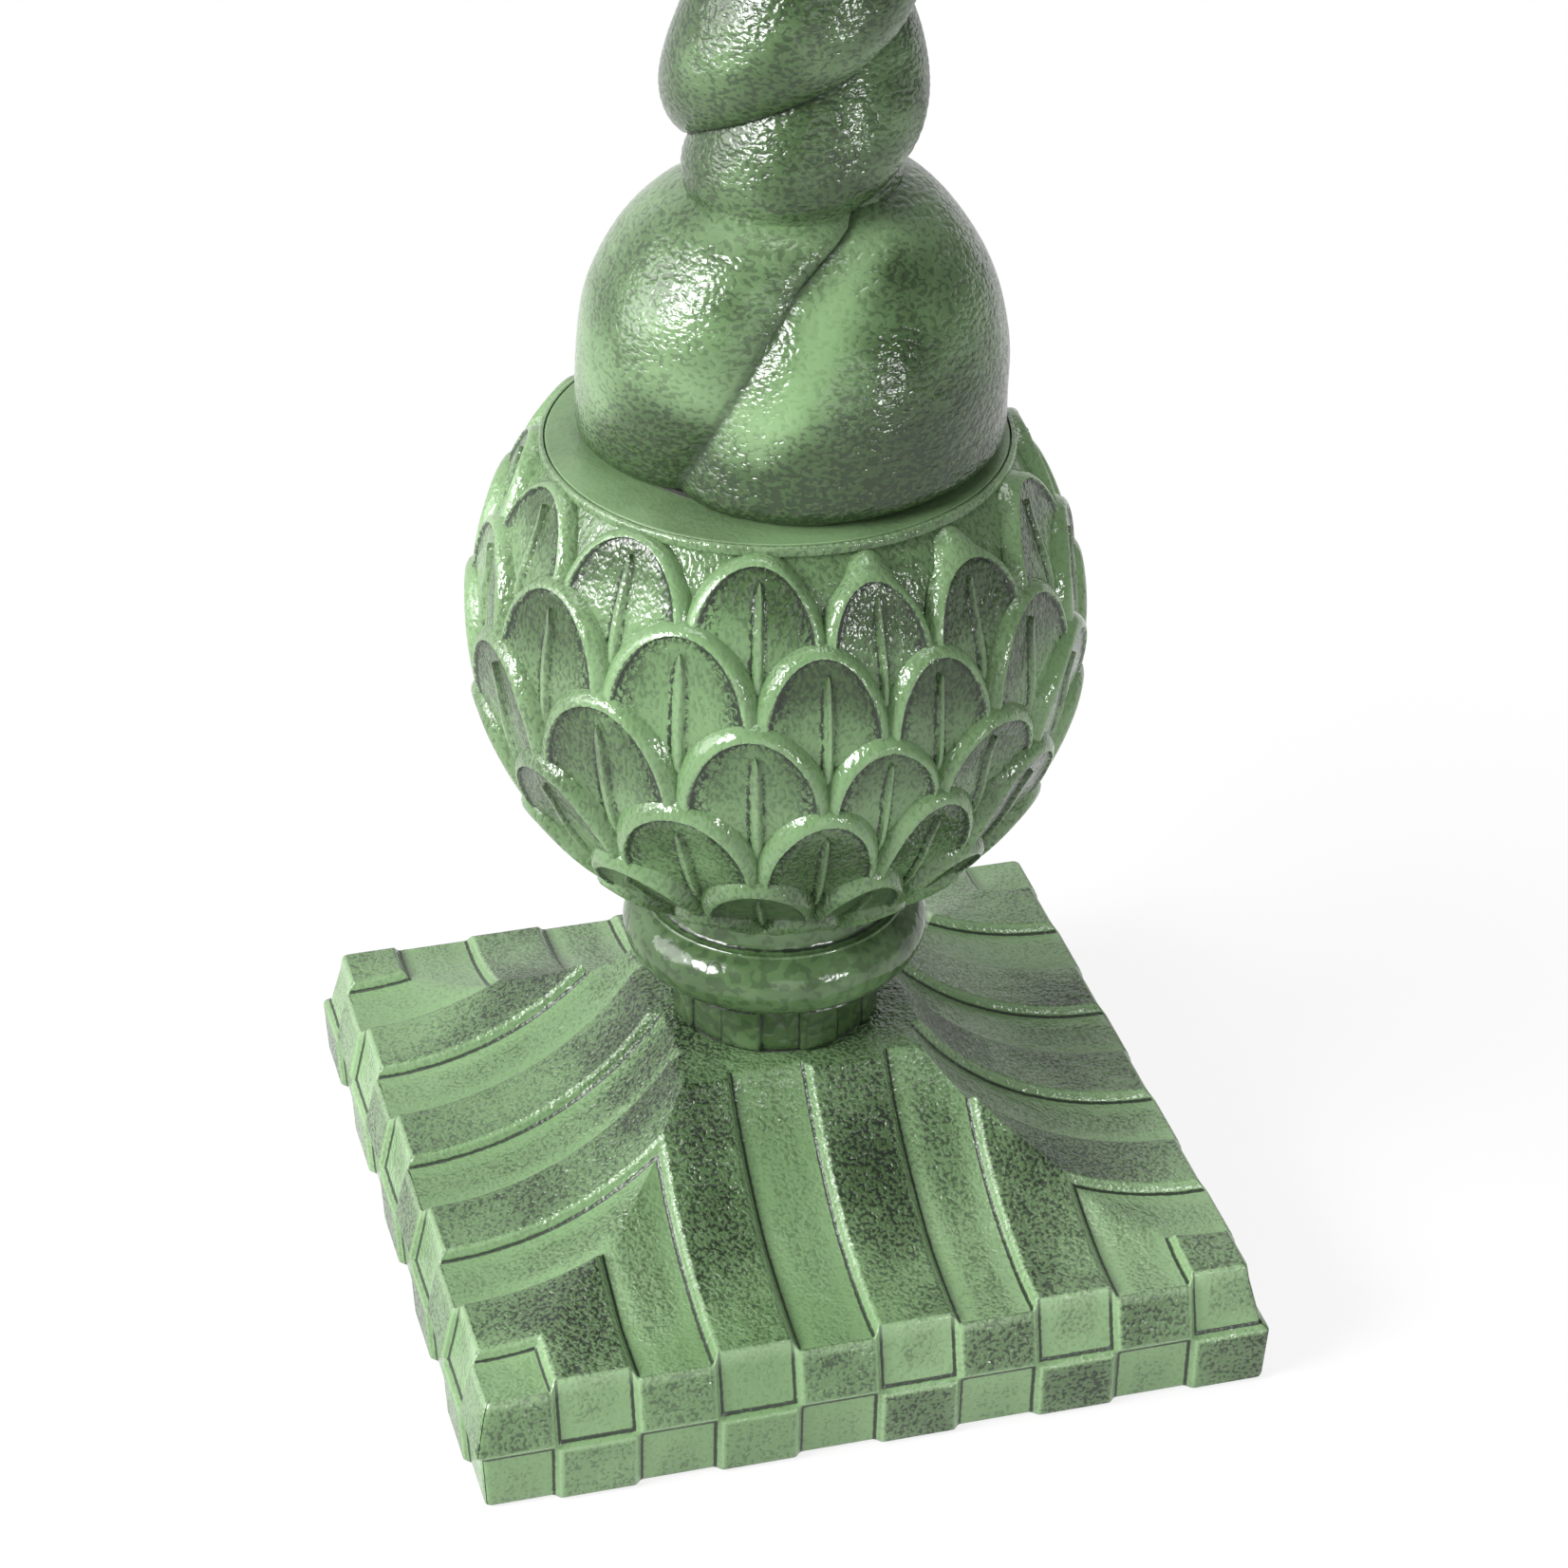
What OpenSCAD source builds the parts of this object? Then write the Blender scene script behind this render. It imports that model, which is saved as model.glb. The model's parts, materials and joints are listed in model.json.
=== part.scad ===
// Garden obelisk: a square checkered base, a ringed neck, an artichoke and a roped column that lifts off.
// Millimetres, +Z up. The origin is on the ground, at the centre of the base.

/* [Base] */
// Width of the square base at its widest line
base_w = 300; // [290:1:310]
// Height of the rim's top edge, at the sunk cells
rim_top = 47; // [46:0.5:49]
// Height of the line between the two rows of cells
rim_mid = 25.3; // [23:0.1:27]
// How far the raised cells stand out
relief = 3.5; // [2:0.1:4]
// How much the rim leans in, from its middle line to its top edge
rim_lean = 5; // [3:0.5:6]
// Radius of the hollow curve of the roof
cove_r = 116.5; // [114:0.5:118]
// Height of the flat platform under the neck
platform_z = 100.5; // [99:0.5:101]

/* [Neck] */
// Radius of the drum on the platform, at its raised panels
drum_r = 39.5; // [39:0.1:40.5]
// Height of the middle of the round ring
ring_z = 138.5; // [137.5:0.5:139.5]
// Radius of the ring's section
ring_r = 13; // [12.5:0.1:13.5]
// Height of the neck's top face
neck_top = 159.4; // [159:0.1:160]

/* [Artichoke] */
// Greatest radius, at the leaf tips
artichoke_r = 114; // [112:0.5:115]
// Height of the middle of the artichoke
artichoke_z = 266; // [265:0.5:267]
// How far a leaf tip stands out
leaf_rise = 6; // [4:0.5:7]
// Leaves in one row
leaf_count = 13; // [13:1:13]
// Height of the flat seat on top
seat_z = 342; // [341:0.5:343]

/* [Column] */
// Radius of the column's bulb
bulb_r = 76; // [74:0.5:77]
// Radius of the rope above the bulb
rope_r = 46.2; // [45:0.1:48]
// Radius of the rope at its top end
rope_top_r = 24; // [22:0.5:26]
// Height of the column's top end
column_top = 1060; // [1000:5:1100]
// How far the column's shape stands off the pivot, to the right
column_dx = 4.8; // [0:0.1:5]
// How far the column's shape stands off the pivot, to the front
column_dy = 1.3; // [0:0.1:2]

/* [Finial] */
// Radius of the ball on top
ball_r = 26; // [22:0.5:28]

/* [Hidden] */

GREEN = "seagreen";
STEEL = "silver";
RUBBER = "dimgray";
NYLON = "ivory";
SMOOTH = 64;
COARSE = 36;
HEX = 6;
BIG = 400;

// Rim: half-widths of the sunk faces at the bottom, middle and top lines
cells = 10;
cell_w = base_w / cells;
rim_bottom = 1;
half_mid = base_w / 2 - relief;
half_bottom = half_mid - 1.4;
half_top = half_mid - rim_lean;
// Raised cells keep a hair clear of each other where they would meet corner to corner
cell_gap = 0.4;
cell_root = 14;
roof_root = 10;

// Roof: the hollow curve starts level, at the rim
cove_x = 142.5;
cove_z = rim_top + cove_r;

// Underside of the base
plate_half = 134;
plate_play = 0.5;
plate_under = 3;
plate_t = 5;
plate_top = plate_under + plate_t;
cavity_half = 122;
cavity_top = 38;
step_half = 68;
step_top = 58;
well_r = 38;
well_top = 90;
screw_at = 128;
screw_r = 2.5;
screw_len = 18;
screw_head_r = 4.5;
screw_head_t = 2.2;
pad_at = 96;
pad_r = 14;

// Tie rod, nuts and washers
rod_r = 6;
rod_hole_r = 6.5;
rod_low = 70;
rod_top = 449;
nut_r = 11;
nut_t = 10;
washer_r = 20;
washer_t = 3;
fit = 0.06;

// Neck
gasket_t = 1;
neck_low = platform_z + gasket_t;
neck_bore_r = 30;
panel_count = 8;
panel_depth = 1.5;
panel_turn = 360 / panel_count / 2;
panel_start = -90.4;
ring_at = 44;
drum_top = 127;
edge_z = 150;
edge_r = 1.6;
edge_at = 49.4;
throat_r = 45;

// Artichoke
collar_t = 0.8;
artichoke_low = neck_top + collar_t;
collar_top = 166;
collar_r = 49.5;
squash = 1.04;
core_a = artichoke_r - leaf_rise;
core_b = core_a * squash;
lip_r = 84.3;
lip_low = 328;
disc_r = 82;
disc_play = 0.3;
disc_t = 8;
mouth_r = 74;
hollow_r = 92;
hollow_floor = 178;
hollow_roof = 318;
// Height angles of the tips of the leaves' faces, row by row from the top, and the end of the last row
row_tips = [38.8, 24.9, 8.7, -9.7, -28.3, -45, -61];
leaf_rows = len(row_tips) - 1;
leaf_turn = -113.5;
leaf_pitch = 360 / leaf_count;
// The front edge sinks from its tip to the sides, a band leads up to it, and the face inside is hollow
leaf_fall = 0.38;
leaf_band = 0.2;
leaf_fold = 3.6;
leaf_hollow = 0.85;
leaf_foot = 0.6;
leaf_low = -64.5;
globe_hidden = 1;
arch_power = 0.95;
// A leaf's mesh: so many steps from its tip to a side, and the number of corners kept for it
steps = 8;
side_corners = steps - 1;
leaf_corners = 4 * side_corners + 3;
top_tip = row_tips[0] + leaf_band * (row_tips[0] - row_tips[1]);
// The rows are laid by hand: squeezed together at one seam, where they sag
seam = -79;
squeeze = 0.24;
squeeze_over = 46;
sag = 6.4;
sag_at = -69;
sag_over = 30;
sag_low = -8;
sag_rise = 16;
sag_end = 2.5;

// Column
seat_ring_t = 1.4;
foot_z = seat_z + 1.5;
seat_ring_in = 50;
seat_ring_out = 58;
foot_curve = 28;
bulb_drop = 83;
waist = 96;
waist_r = bulb_r * sqrt(1 - pow((waist - foot_curve) / bulb_drop, 2));
swell = 34;
taper_from = 150;
rope_len = column_top - foot_z;
strand_points = 12;
strands = 2;
bulb_groove = 0.157;
rope_groove = 0.2;
foot_phase = -144;
slow_turn = 0.5;
fast_turn = 2.9;
turn_from = 66;
turn_over = 42;
late_turn = 0.0006;
bulb_rings = 16;
rope_ring_step = 4.9;

// Column inside
foot_plate_r = 51.8;
foot_recess_r = 52;
foot_play = 0.2;
foot_recess_t = 5;
bell_r = 48;
bell_top = 388;
shaft_low = 432;
shaft_r = 25;
shaft_top = column_top - 50;
insert_r = 9;
insert_low = column_top - 44;
sleeve_r = 13;
tube_r = 16;
tube_top = 466;
guide_low = 446;
guide_t = 14;
sleeve_play = 0.3;
sleeve_low = seat_z + sleeve_play;
sleeve_top = rod_top - 16;

// Finial
stud_r = 4;
stud_low = column_top - 38;
collar_h = 16;
finial_low = column_top + collar_h;
ball_z = finial_low + 10 + ball_r;
stud_top = ball_z;
tip_z = ball_z + ball_r + 26;

// Base
// Half a section through the base, both sides at once, run along the whole width
module base_ridge(side_out, roof_up) {
    bottom = half_bottom + side_out;
    middle = half_mid + side_out;
    top = half_top + side_out;
    lean = (half_mid - half_top) / (rim_top - rim_mid);
    over = top - lean * roof_up;
    margin_z = rim_top + roof_up;
    rotate([90, 0, 0])
        difference() {
            linear_extrude(BIG, center = true)
                polygon([
                    [-bottom, rim_bottom], [bottom, rim_bottom], [middle, rim_mid], [over, margin_z],
                    [over, platform_z], [-over, platform_z], [-over, margin_z], [-middle, rim_mid]
                ]);
            for (side = [-1, 1])
                translate([side * cove_x, cove_z, 0])
                    cylinder(h = BIG + 2, r = cove_r - roof_up, center = true, $fn = SMOOTH);
        }
}

// The ridge both ways, so that the four slopes meet in hips over the diagonals
module base_block(side_out, roof_up) {
    intersection() {
        base_ridge(side_out, roof_up);
        rotate([0, 0, 90]) base_ridge(side_out, roof_up);
    }
}

// Places the front's cells on the other three sides: left by the diagonal, right and back by a half turn
module on_four_sides() {
    for (half_turn = [0, 180])
        rotate([0, 0, half_turn]) {
            children();
            mirror([1, -1, 0]) children();
        }
}

function cell_start(i) = (i == 1 ? -BIG / 2 : -base_w / 2 + (i - 1) * cell_w + cell_gap);
function cell_end(i) = (i == cells ? BIG / 2 : -base_w / 2 + i * cell_w - cell_gap);

// One stripe of the front slope, from the rim back to the hip
module roof_stripe(i) {
    x0 = max(cell_start(i), -half_mid);
    x1 = min(cell_end(i), half_mid);
    translate([0, 0, rim_top - roof_root])
        linear_extrude(platform_z)
            polygon([
                [x0, -BIG / 2], [x1, -BIG / 2],
                [x1, -abs(x1)], [x0, -abs(x0)]
            ]);
}

module front_cell(i, z0, z1) {
    translate([cell_start(i), -BIG / 2, z0])
        cube([cell_end(i) - cell_start(i), BIG / 2 - half_top + cell_root, z1 - z0]);
}

module base_outside() {
    base_block(0, 0);
    intersection() {
        base_block(0, relief);
        on_four_sides() for (i = [2:2:cells]) roof_stripe(i);
    }
    intersection() {
        base_block(relief, 0);
        on_four_sides() {
            for (i = [1:2:cells]) front_cell(i, rim_mid + cell_gap, rim_top);
            for (i = [2:2:cells]) front_cell(i, 0, rim_mid - cell_gap);
        }
    }
}

module square_block(half, z0, z1) {
    translate([-half, -half, z0]) cube([2 * half, 2 * half, z1 - z0]);
}

module at_corners(distance) {
    for (x = [-distance, distance], y = [-distance, distance]) translate([x, y, 0]) children();
}

module rod_cylinder(r, z0, z1) {
    translate([0, 0, z0]) cylinder(h = z1 - z0, r = r, $fn = SMOOTH);
}

module base_casting() {
    color(GREEN)
        difference() {
            base_outside();
            square_block(plate_half + plate_play, -1, plate_top);
            square_block(cavity_half, plate_top - 1, cavity_top);
            square_block(step_half, cavity_top - 1, step_top);
            rod_cylinder(well_r, step_top - 1, well_top);
            rod_cylinder(rod_hole_r, well_top - 1, platform_z + 1);
            at_corners(screw_at) rod_cylinder(screw_r + fit, plate_top - 1, plate_under + screw_len + 1);
        }
}

module base_plate() {
    color(STEEL)
        difference() {
            square_block(plate_half, plate_under, plate_top);
            at_corners(screw_at) rod_cylinder(screw_r + fit, 0, plate_top + 1);
        }
}

module base_plate_screws() {
    color(STEEL)
        at_corners(screw_at) {
            rod_cylinder(screw_head_r, plate_under - screw_head_t, plate_under);
            rod_cylinder(screw_r, plate_under - 0.5, plate_under + screw_len);
        }
}

module foot_pads() {
    color(RUBBER) at_corners(pad_at) rod_cylinder(pad_r, 0, plate_under);
}

// Clamp through the middle
module washer(z, r) {
    difference() {
        rod_cylinder(r, z, z + washer_t);
        rod_cylinder(rod_r + fit, z - 1, z + washer_t + 1);
    }
}

module nut(z) {
    difference() {
        translate([0, 0, z]) cylinder(h = nut_t, r = nut_r, $fn = HEX);
        rod_cylinder(rod_r + fit, z - 1, z + nut_t + 1);
    }
}

module lower_washer() {
    color(STEEL) washer(well_top - washer_t, washer_r);
}

module lower_nut() {
    color(STEEL) nut(well_top - washer_t - nut_t);
}

module tie_rod() {
    color(STEEL) rod_cylinder(rod_r, rod_low, rod_top);
}

module upper_washer() {
    color(STEEL) washer(hollow_floor, washer_r);
}

module upper_nut() {
    color(STEEL) nut(hollow_floor + washer_t);
}

module spigot_washer() {
    color(STEEL) washer(sleeve_top + sleeve_play, sleeve_r - 1);
}

module spigot_nut() {
    color(STEEL) nut(sleeve_top + sleeve_play + washer_t);
}

// Neck
module ring_washer(r_in, r_out, z0, z1) {
    difference() {
        rod_cylinder(r_out, z0, z1);
        rod_cylinder(r_in, z0 - 1, z1 + 1);
    }
}

module base_gasket() {
    color(RUBBER) ring_washer(neck_bore_r, drum_r - 2.5, platform_z, neck_low);
}

module neck_section() {
    difference() {
        union() {
            translate([neck_bore_r, neck_low])
                square([drum_r - panel_depth - neck_bore_r, neck_top - neck_low]);
            translate([ring_at, ring_z]) circle(ring_r, $fn = SMOOTH);
            translate([neck_bore_r, edge_z - edge_r])
                square([edge_at - neck_bore_r, 2 * edge_r]);
            translate([edge_at, edge_z]) circle(edge_r, $fn = SMOOTH);
            translate([neck_bore_r, edge_z])
                square([throat_r - neck_bore_r, neck_top - edge_z]);
        }
        translate([0, neck_low]) square([neck_bore_r, neck_top - neck_low]);
    }
}

module neck_casting() {
    color(GREEN) {
        rotate_extrude($fn = SMOOTH) neck_section();
        for (k = [0 : panel_count - 1])
            rotate([0, 0, panel_start + 2 * panel_turn * k])
                rotate_extrude(angle = panel_turn, $fn = SMOOTH)
                    translate([neck_bore_r + 1, neck_low])
                        square([drum_r - neck_bore_r - 1, drum_top - neck_low]);
    }
}

module collar_gasket() {
    color(RUBBER) ring_washer(neck_bore_r, throat_r - 1.5, neck_top, artichoke_low);
}

// Artichoke
function wrap(angle, pitch) = angle - pitch * round(angle / pitch);
function ramp(x) = min(1, max(0, x));
function bell(x) = exp(-x * x);
function row_step(j) = row_tips[j] - row_tips[j + 1];
function row_turn(j) = leaf_turn + (j % 2) * leaf_pitch / 2;

// Where a place in the even pattern really lies
function laid_turn(turn) =
    let(off = wrap(turn - seam, 360))
    turn - squeeze * off * bell(off / squeeze_over);
function laid_up(turn, up) =
    let(share = ramp((up - sag_low) / sag_rise) * ramp((top_tip - up) / sag_end))
    up - sag * share * bell(wrap(turn - sag_at, 360) / sag_over);

function on_globe(even_turn, even_up, h) =
    let(turn = laid_turn(even_turn))
    let(up = laid_up(turn, even_up))
    let(r = (core_a + h) * cos(up))
    [r * cos(turn), r * sin(turn), artichoke_z + (core_b + h) * sin(up)];

// Leaves overlap like scales: the tip of each one lies where two of the row above meet. A leaf is placed by
// x, in half pitches from its middle, and t, from its own tip to the tips of the next row.
function tip_up(j) = j < leaf_rows ? row_tips[j] + leaf_band * row_step(j) : leaf_low;
function leaf_place(j, k, x, t, h) =
    on_globe(row_turn(j) + leaf_pitch * (k + x / 2), tip_up(j) + t * (tip_up(j + 1) - tip_up(j)), h);

function edge_height(t) = leaf_rise * (1 - leaf_fall * t);
function arch_x(share) = pow(sin(90 * share), arch_power);
function arch_t(share) = 1 - cos(90 * share);

// A corner of the outline at a share of the way down one side, and of the front edge inside it
function outline_corner(j, k, side, share) =
    leaf_place(j, k, side * arch_x(share), arch_t(share), leaf_foot);
function front_corner(j, k, side, share) =
    let(inset = leaf_band * (1 - pow(share, 3)))
    let(t = inset + (1 - inset) * arch_t(share))
    let(h = leaf_foot + (edge_height(t) - leaf_foot) * (1 - pow(share, 4)))
    leaf_place(j, k, side * (1 - inset) * arch_x(share), t, h);

function leaf_points(j, k) = concat(
    [outline_corner(j, k, 0, 0)],
    [for (side = [-1, 1], i = [1 : side_corners]) outline_corner(j, k, side, i / steps)],
    [for (side = [-1, 1], i = [1 : side_corners]) front_corner(j, k, side, i / steps)],
    [front_corner(j, k, 0, 0), leaf_place(j, k, 0, leaf_hollow, edge_height(leaf_hollow) - leaf_fold)]
);

// Numbers of the corners
function round_row(k) = (k + leaf_count) % leaf_count;
function right_of(j, k) = round_row(j % 2 == 0 ? k : k + 1);
function left_of(j, k) = round_row(right_of(j, k) - 1);
function first(j, k) = (j * leaf_count + k) * leaf_corners;
function tip(j, k) = j < leaf_rows ? first(j, k) : leaf_rows * leaf_count * leaf_corners + k;
function side_line(j, k, block) = [for (i = [1 : side_corners]) first(j, k) + block * side_corners + i];
function left_outline(j, k) = side_line(j, k, 0);
function right_outline(j, k) = side_line(j, k, 1);
function backwards(list) = [for (i = [len(list) - 1 : -1 : 0]) list[i]];
function over(j, k, left, top, right) =
    concat(tip(j + 1, left_of(j, k)), backwards(left), top, right, tip(j + 1, right_of(j, k)));

// Lower edge of a leaf's face, from right to left along the leaves below
function under(j, k) =
    let(left = left_of(j, k))
    let(right = right_of(j, k))
    let(below = concat(left_outline(j + 1, right), tip(j + 2, k), backwards(right_outline(j + 1, left))))
    concat(tip(j + 1, right), j < leaf_rows - 1 ? below : [], tip(j + 1, left));

function fan(line, middle) = [for (i = [0 : len(line) - 2]) [line[i], line[i + 1], middle]];

// A band climbs from the outline to the front edge, and the face is hollow
function leaf_faces(j, k) =
    let(last = first(j, k) + leaf_corners - 1)
    let(outline = over(j, k, left_outline(j, k), first(j, k), right_outline(j, k)))
    let(front = over(j, k, side_line(j, k, 2), last - 1, side_line(j, k, 3)))
    let(end = len(front) - 2)
    concat(
        [for (i = [0 : end - 1]) [outline[i], outline[i + 1], front[i + 1]]],
        [[outline[end], outline[end + 1], front[end]]],
        [for (i = [1 : end - 1]) [outline[i], front[i + 1], front[i]]],
        fan(front, last),
        fan(under(j, k), last)
    );

module artichoke_leaves() {
    rows = [0 : leaf_rows - 1];
    leaves = [0 : leaf_count - 1];
    points = concat(
        [for (j = rows, k = leaves) each leaf_points(j, k)],
        [for (k = leaves) leaf_place(leaf_rows - 1, k, -1, 1, 0)],
        [for (k = leaves) leaf_place(0, k, 1, leaf_band, 0)],
        [[0, 0, collar_top - globe_hidden], [0, 0, seat_z - globe_hidden]]
    );
    gaps = tip(leaf_rows, 0) + leaf_count;
    bottom = gaps + leaf_count;
    top = bottom + 1;
    polyhedron(
        points = points,
        faces = concat(
            [for (j = rows, k = leaves) each leaf_faces(j, k)],
            [
                for (k = leaves)
                    let(next = round_row(k + 1))
                    let(sides = concat(left_outline(0, next), tip(1, k), backwards(right_outline(0, k))))
                    each fan(concat(tip(0, k), tip(0, next), sides, tip(0, k)), gaps + k)
            ],
            [for (k = leaves) [tip(leaf_rows, k), tip(leaf_rows, round_row(k + 1)), bottom]],
            [for (k = leaves) [tip(0, round_row(k + 1)), tip(0, k), top]]
        )
    );
}

module artichoke_hollow() {
    intersection() {
        translate([0, 0, artichoke_z]) sphere(hollow_r, $fn = COARSE);
        rod_cylinder(BIG, hollow_floor, hollow_roof);
    }
    rod_cylinder(mouth_r, hollow_roof - 10, seat_z - disc_t + 1);
    rod_cylinder(disc_r + disc_play, seat_z - disc_t, seat_z + 1);
}

module artichoke_casting() {
    color(GREEN)
        difference() {
            union() {
                artichoke_leaves();
                rod_cylinder(collar_r, artichoke_low, collar_top);
                rod_cylinder(lip_r, lip_low, seat_z);
            }
            artichoke_hollow();
            rod_cylinder(rod_hole_r, artichoke_low - 1, hollow_floor + 1);
        }
}

module seat_disc() {
    color(GREEN)
        difference() {
            rod_cylinder(disc_r, seat_z - disc_t, seat_z);
            rod_cylinder(rod_hole_r, seat_z - disc_t - 1, seat_z + 1);
        }
}

module column_seat_ring() {
    color(RUBBER) ring_washer(seat_ring_in, seat_ring_out, seat_z, seat_z + seat_ring_t);
}

// Column
module pivot_sleeve() {
    color(NYLON) ring_washer(rod_r + fit, sleeve_r, sleeve_low, sleeve_top);
}

function ease(x) = x < 0 ? 0 : x < 1 ? pow(x, 3) - pow(x, 4) / 2 : x - 0.5;

// Turn of the strands at a height above the foot: slow round the bulb, fast up the rope
function strand_turn(t) =
    foot_phase + slow_turn * t + fast_turn * turn_over * ease((t - turn_from) / turn_over)
    + late_turn * pow(max(0, t - taper_from), 2);

// Radius over the crests of the strands
function foot_round(t) = bulb_r - 4 * pow(max(0, 1 - t / 6), 2);
function crest(t) =
    t < foot_curve ? foot_round(t)
    : t < waist ? bulb_r * sqrt(1 - pow((t - foot_curve) / bulb_drop, 2))
    : t < waist + swell ? waist_r + (rope_r - waist_r) * sin(90 * (t - waist) / swell)
    : rope_r + (rope_top_r - rope_r) * pow(max(0, t - taper_from) / (rope_len - taper_from), 0.9);

function on_bulb(t) = 1 - ramp((t - 60) / 40);
function groove(t) = rope_groove + (bulb_groove - rope_groove) * on_bulb(t);

// Section of one strand: a gentle rise on its upper side and a steep underside, more even round the bulb
function strand_lean(t, s) = 1.5 - 0.5 * (1 - s) * on_bulb(t);
function strand_rise(t, s) = pow(max(0, sin(180 * pow(s, strand_lean(t, s)))), 0.6);

function strand_radius(t, s) = crest(t) * (1 - groove(t) * (1 - strand_rise(t, s)));

function column_ring(t) = [
    for (k = [0 : strands - 1], j = [0 : strand_points - 1])
        let(s = j / strand_points)
        let(turn = strand_turn(t) + (k + s) * 360 / strands)
        let(r = strand_radius(t, s))
        [column_dx + r * cos(turn), -column_dy + r * sin(turn), foot_z + t]
];

module column_rope() {
    count = strands * strand_points;
    rope_rings = ceil((rope_len - waist) / rope_ring_step);
    heights = concat(
        [for (i = [0 : bulb_rings - 1]) waist * i / bulb_rings],
        [for (i = [0 : rope_rings]) waist + (rope_len - waist) * i / rope_rings]
    );
    rings = len(heights);
    points = [for (t = heights) each column_ring(t)];
    walls = [
        for (j = [0 : rings - 2], i = [0 : count - 1])
            let(k = (i + 1) % count)
            let(a = j * count + i)
            let(b = j * count + k)
            each [[b, a, a + count], [b, a + count, b + count]]
    ];
    top = (rings - 1) * count;
    polyhedron(
        points = concat(points, [[column_dx, -column_dy, foot_z], [column_dx, -column_dy, column_top]]),
        faces = concat(
            walls,
            [for (i = [0 : count - 1]) [i, (i + 1) % count, len(points)]],
            [for (i = [0 : count - 1]) [top + (i + 1) % count, top + i, len(points) + 1]]
        )
    );
}

module on_column_axis() {
    translate([column_dx, -column_dy, 0]) children();
}

module column_hollow() {
    recess_top = foot_z + foot_recess_t;
    on_column_axis() {
        rod_cylinder(foot_recess_r, foot_z - 1, recess_top);
        rotate_extrude($fn = SMOOTH)
            polygon([
                [0, recess_top - 1], [bell_r, recess_top - 1], [bell_r, bell_top], [shaft_r, shaft_low],
                [shaft_r, guide_low + guide_t], [insert_r + 1, shaft_top], [0, shaft_top]
            ]);
        rod_cylinder(insert_r, shaft_top - 1, column_top + 1);
    }
}

module column_casting() {
    color(GREEN)
        difference() {
            column_rope();
            column_hollow();
        }
}

// A disc centred on the column's shape, with its hole on the pivot
module pivot_disc(r, z0, z1) {
    difference() {
        on_column_axis() rod_cylinder(r, z0, z1);
        rod_cylinder(tube_r + fit, z0 - 1, z1 + 1);
    }
}

module column_foot_plate() {
    color(STEEL) pivot_disc(foot_plate_r, foot_z + foot_play, foot_z + foot_recess_t);
}

module socket_tube() {
    color(STEEL) ring_washer(sleeve_r + fit, tube_r, foot_z + foot_play, tube_top);
}

module socket_guide_ring() {
    color(NYLON) pivot_disc(shaft_r - fit, guide_low, guide_low + guide_t);
}

// Finial
module finial_insert() {
    color(STEEL)
        on_column_axis()
            difference() {
                rod_cylinder(insert_r - fit, insert_low, column_top);
                rod_cylinder(stud_r + fit, insert_low - 1, column_top + 1);
            }
}

module finial_stud() {
    color(STEEL) on_column_axis() rod_cylinder(stud_r, stud_low, stud_top);
}

module finial_collar() {
    half = collar_h / 2;
    color(GREEN)
        on_column_axis()
            rotate_extrude($fn = SMOOTH)
                difference() {
                    union() {
                        translate([stud_r, column_top]) square([rope_top_r - stud_r, collar_h]);
                        translate([rope_top_r - 1, column_top + half]) circle(half, $fn = SMOOTH);
                    }
                    translate([0, column_top]) square([stud_r + fit, collar_h]);
                }
}

module finial() {
    neck_r = 13;
    color(GREEN)
        on_column_axis()
            difference() {
                union() {
                    rod_cylinder(neck_r, finial_low, ball_z - ball_r / 2);
                    translate([0, 0, ball_z]) sphere(ball_r, $fn = SMOOTH);
                    translate([0, 0, ball_z + ball_r - 4])
                        cylinder(h = tip_z - ball_z - ball_r, r1 = 11, r2 = 3, $fn = SMOOTH);
                    translate([0, 0, tip_z - 4]) sphere(4, $fn = SMOOTH);
                }
                rod_cylinder(stud_r + fit, finial_low - 1, stud_top + 1);
            }
}

base_casting();
base_plate();
base_plate_screws();
foot_pads();
lower_washer();
lower_nut();
tie_rod();
base_gasket();
neck_casting();
collar_gasket();
artichoke_casting();
upper_washer();
upper_nut();
seat_disc();
column_seat_ring();
spigot_washer();
spigot_nut();
pivot_sleeve();
column_casting();
column_foot_plate();
socket_tube();
socket_guide_ring();
finial_insert();
finial_stud();
finial_collar();
finial();
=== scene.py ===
# %% [markdown]
# # A green lacquered garden obelisk
# The frame holds the solids that the CAD model made, and every piece below is laid over one of them, in
# metres. The lesson goes from the ground up: camera, finishes, base, neck, artichoke, seat, column, finial,
# hidden fittings, and last the floor and the light.

# %% Load the frame
import json
import math
import bmesh
import bpy
from mathutils import Matrix, Vector, noise


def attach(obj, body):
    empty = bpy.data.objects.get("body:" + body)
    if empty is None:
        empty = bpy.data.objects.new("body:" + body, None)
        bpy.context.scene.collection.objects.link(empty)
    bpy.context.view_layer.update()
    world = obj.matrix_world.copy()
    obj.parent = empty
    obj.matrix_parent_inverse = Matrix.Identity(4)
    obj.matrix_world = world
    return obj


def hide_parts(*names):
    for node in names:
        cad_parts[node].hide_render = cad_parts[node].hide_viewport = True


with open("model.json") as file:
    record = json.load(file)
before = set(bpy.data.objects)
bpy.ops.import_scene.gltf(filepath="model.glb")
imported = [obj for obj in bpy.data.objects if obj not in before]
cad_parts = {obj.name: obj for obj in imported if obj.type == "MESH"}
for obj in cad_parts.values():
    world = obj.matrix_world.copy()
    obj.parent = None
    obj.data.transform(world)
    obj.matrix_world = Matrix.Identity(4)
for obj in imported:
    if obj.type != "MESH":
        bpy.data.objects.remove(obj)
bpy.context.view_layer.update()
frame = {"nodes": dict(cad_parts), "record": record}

MM = 0.001

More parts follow.
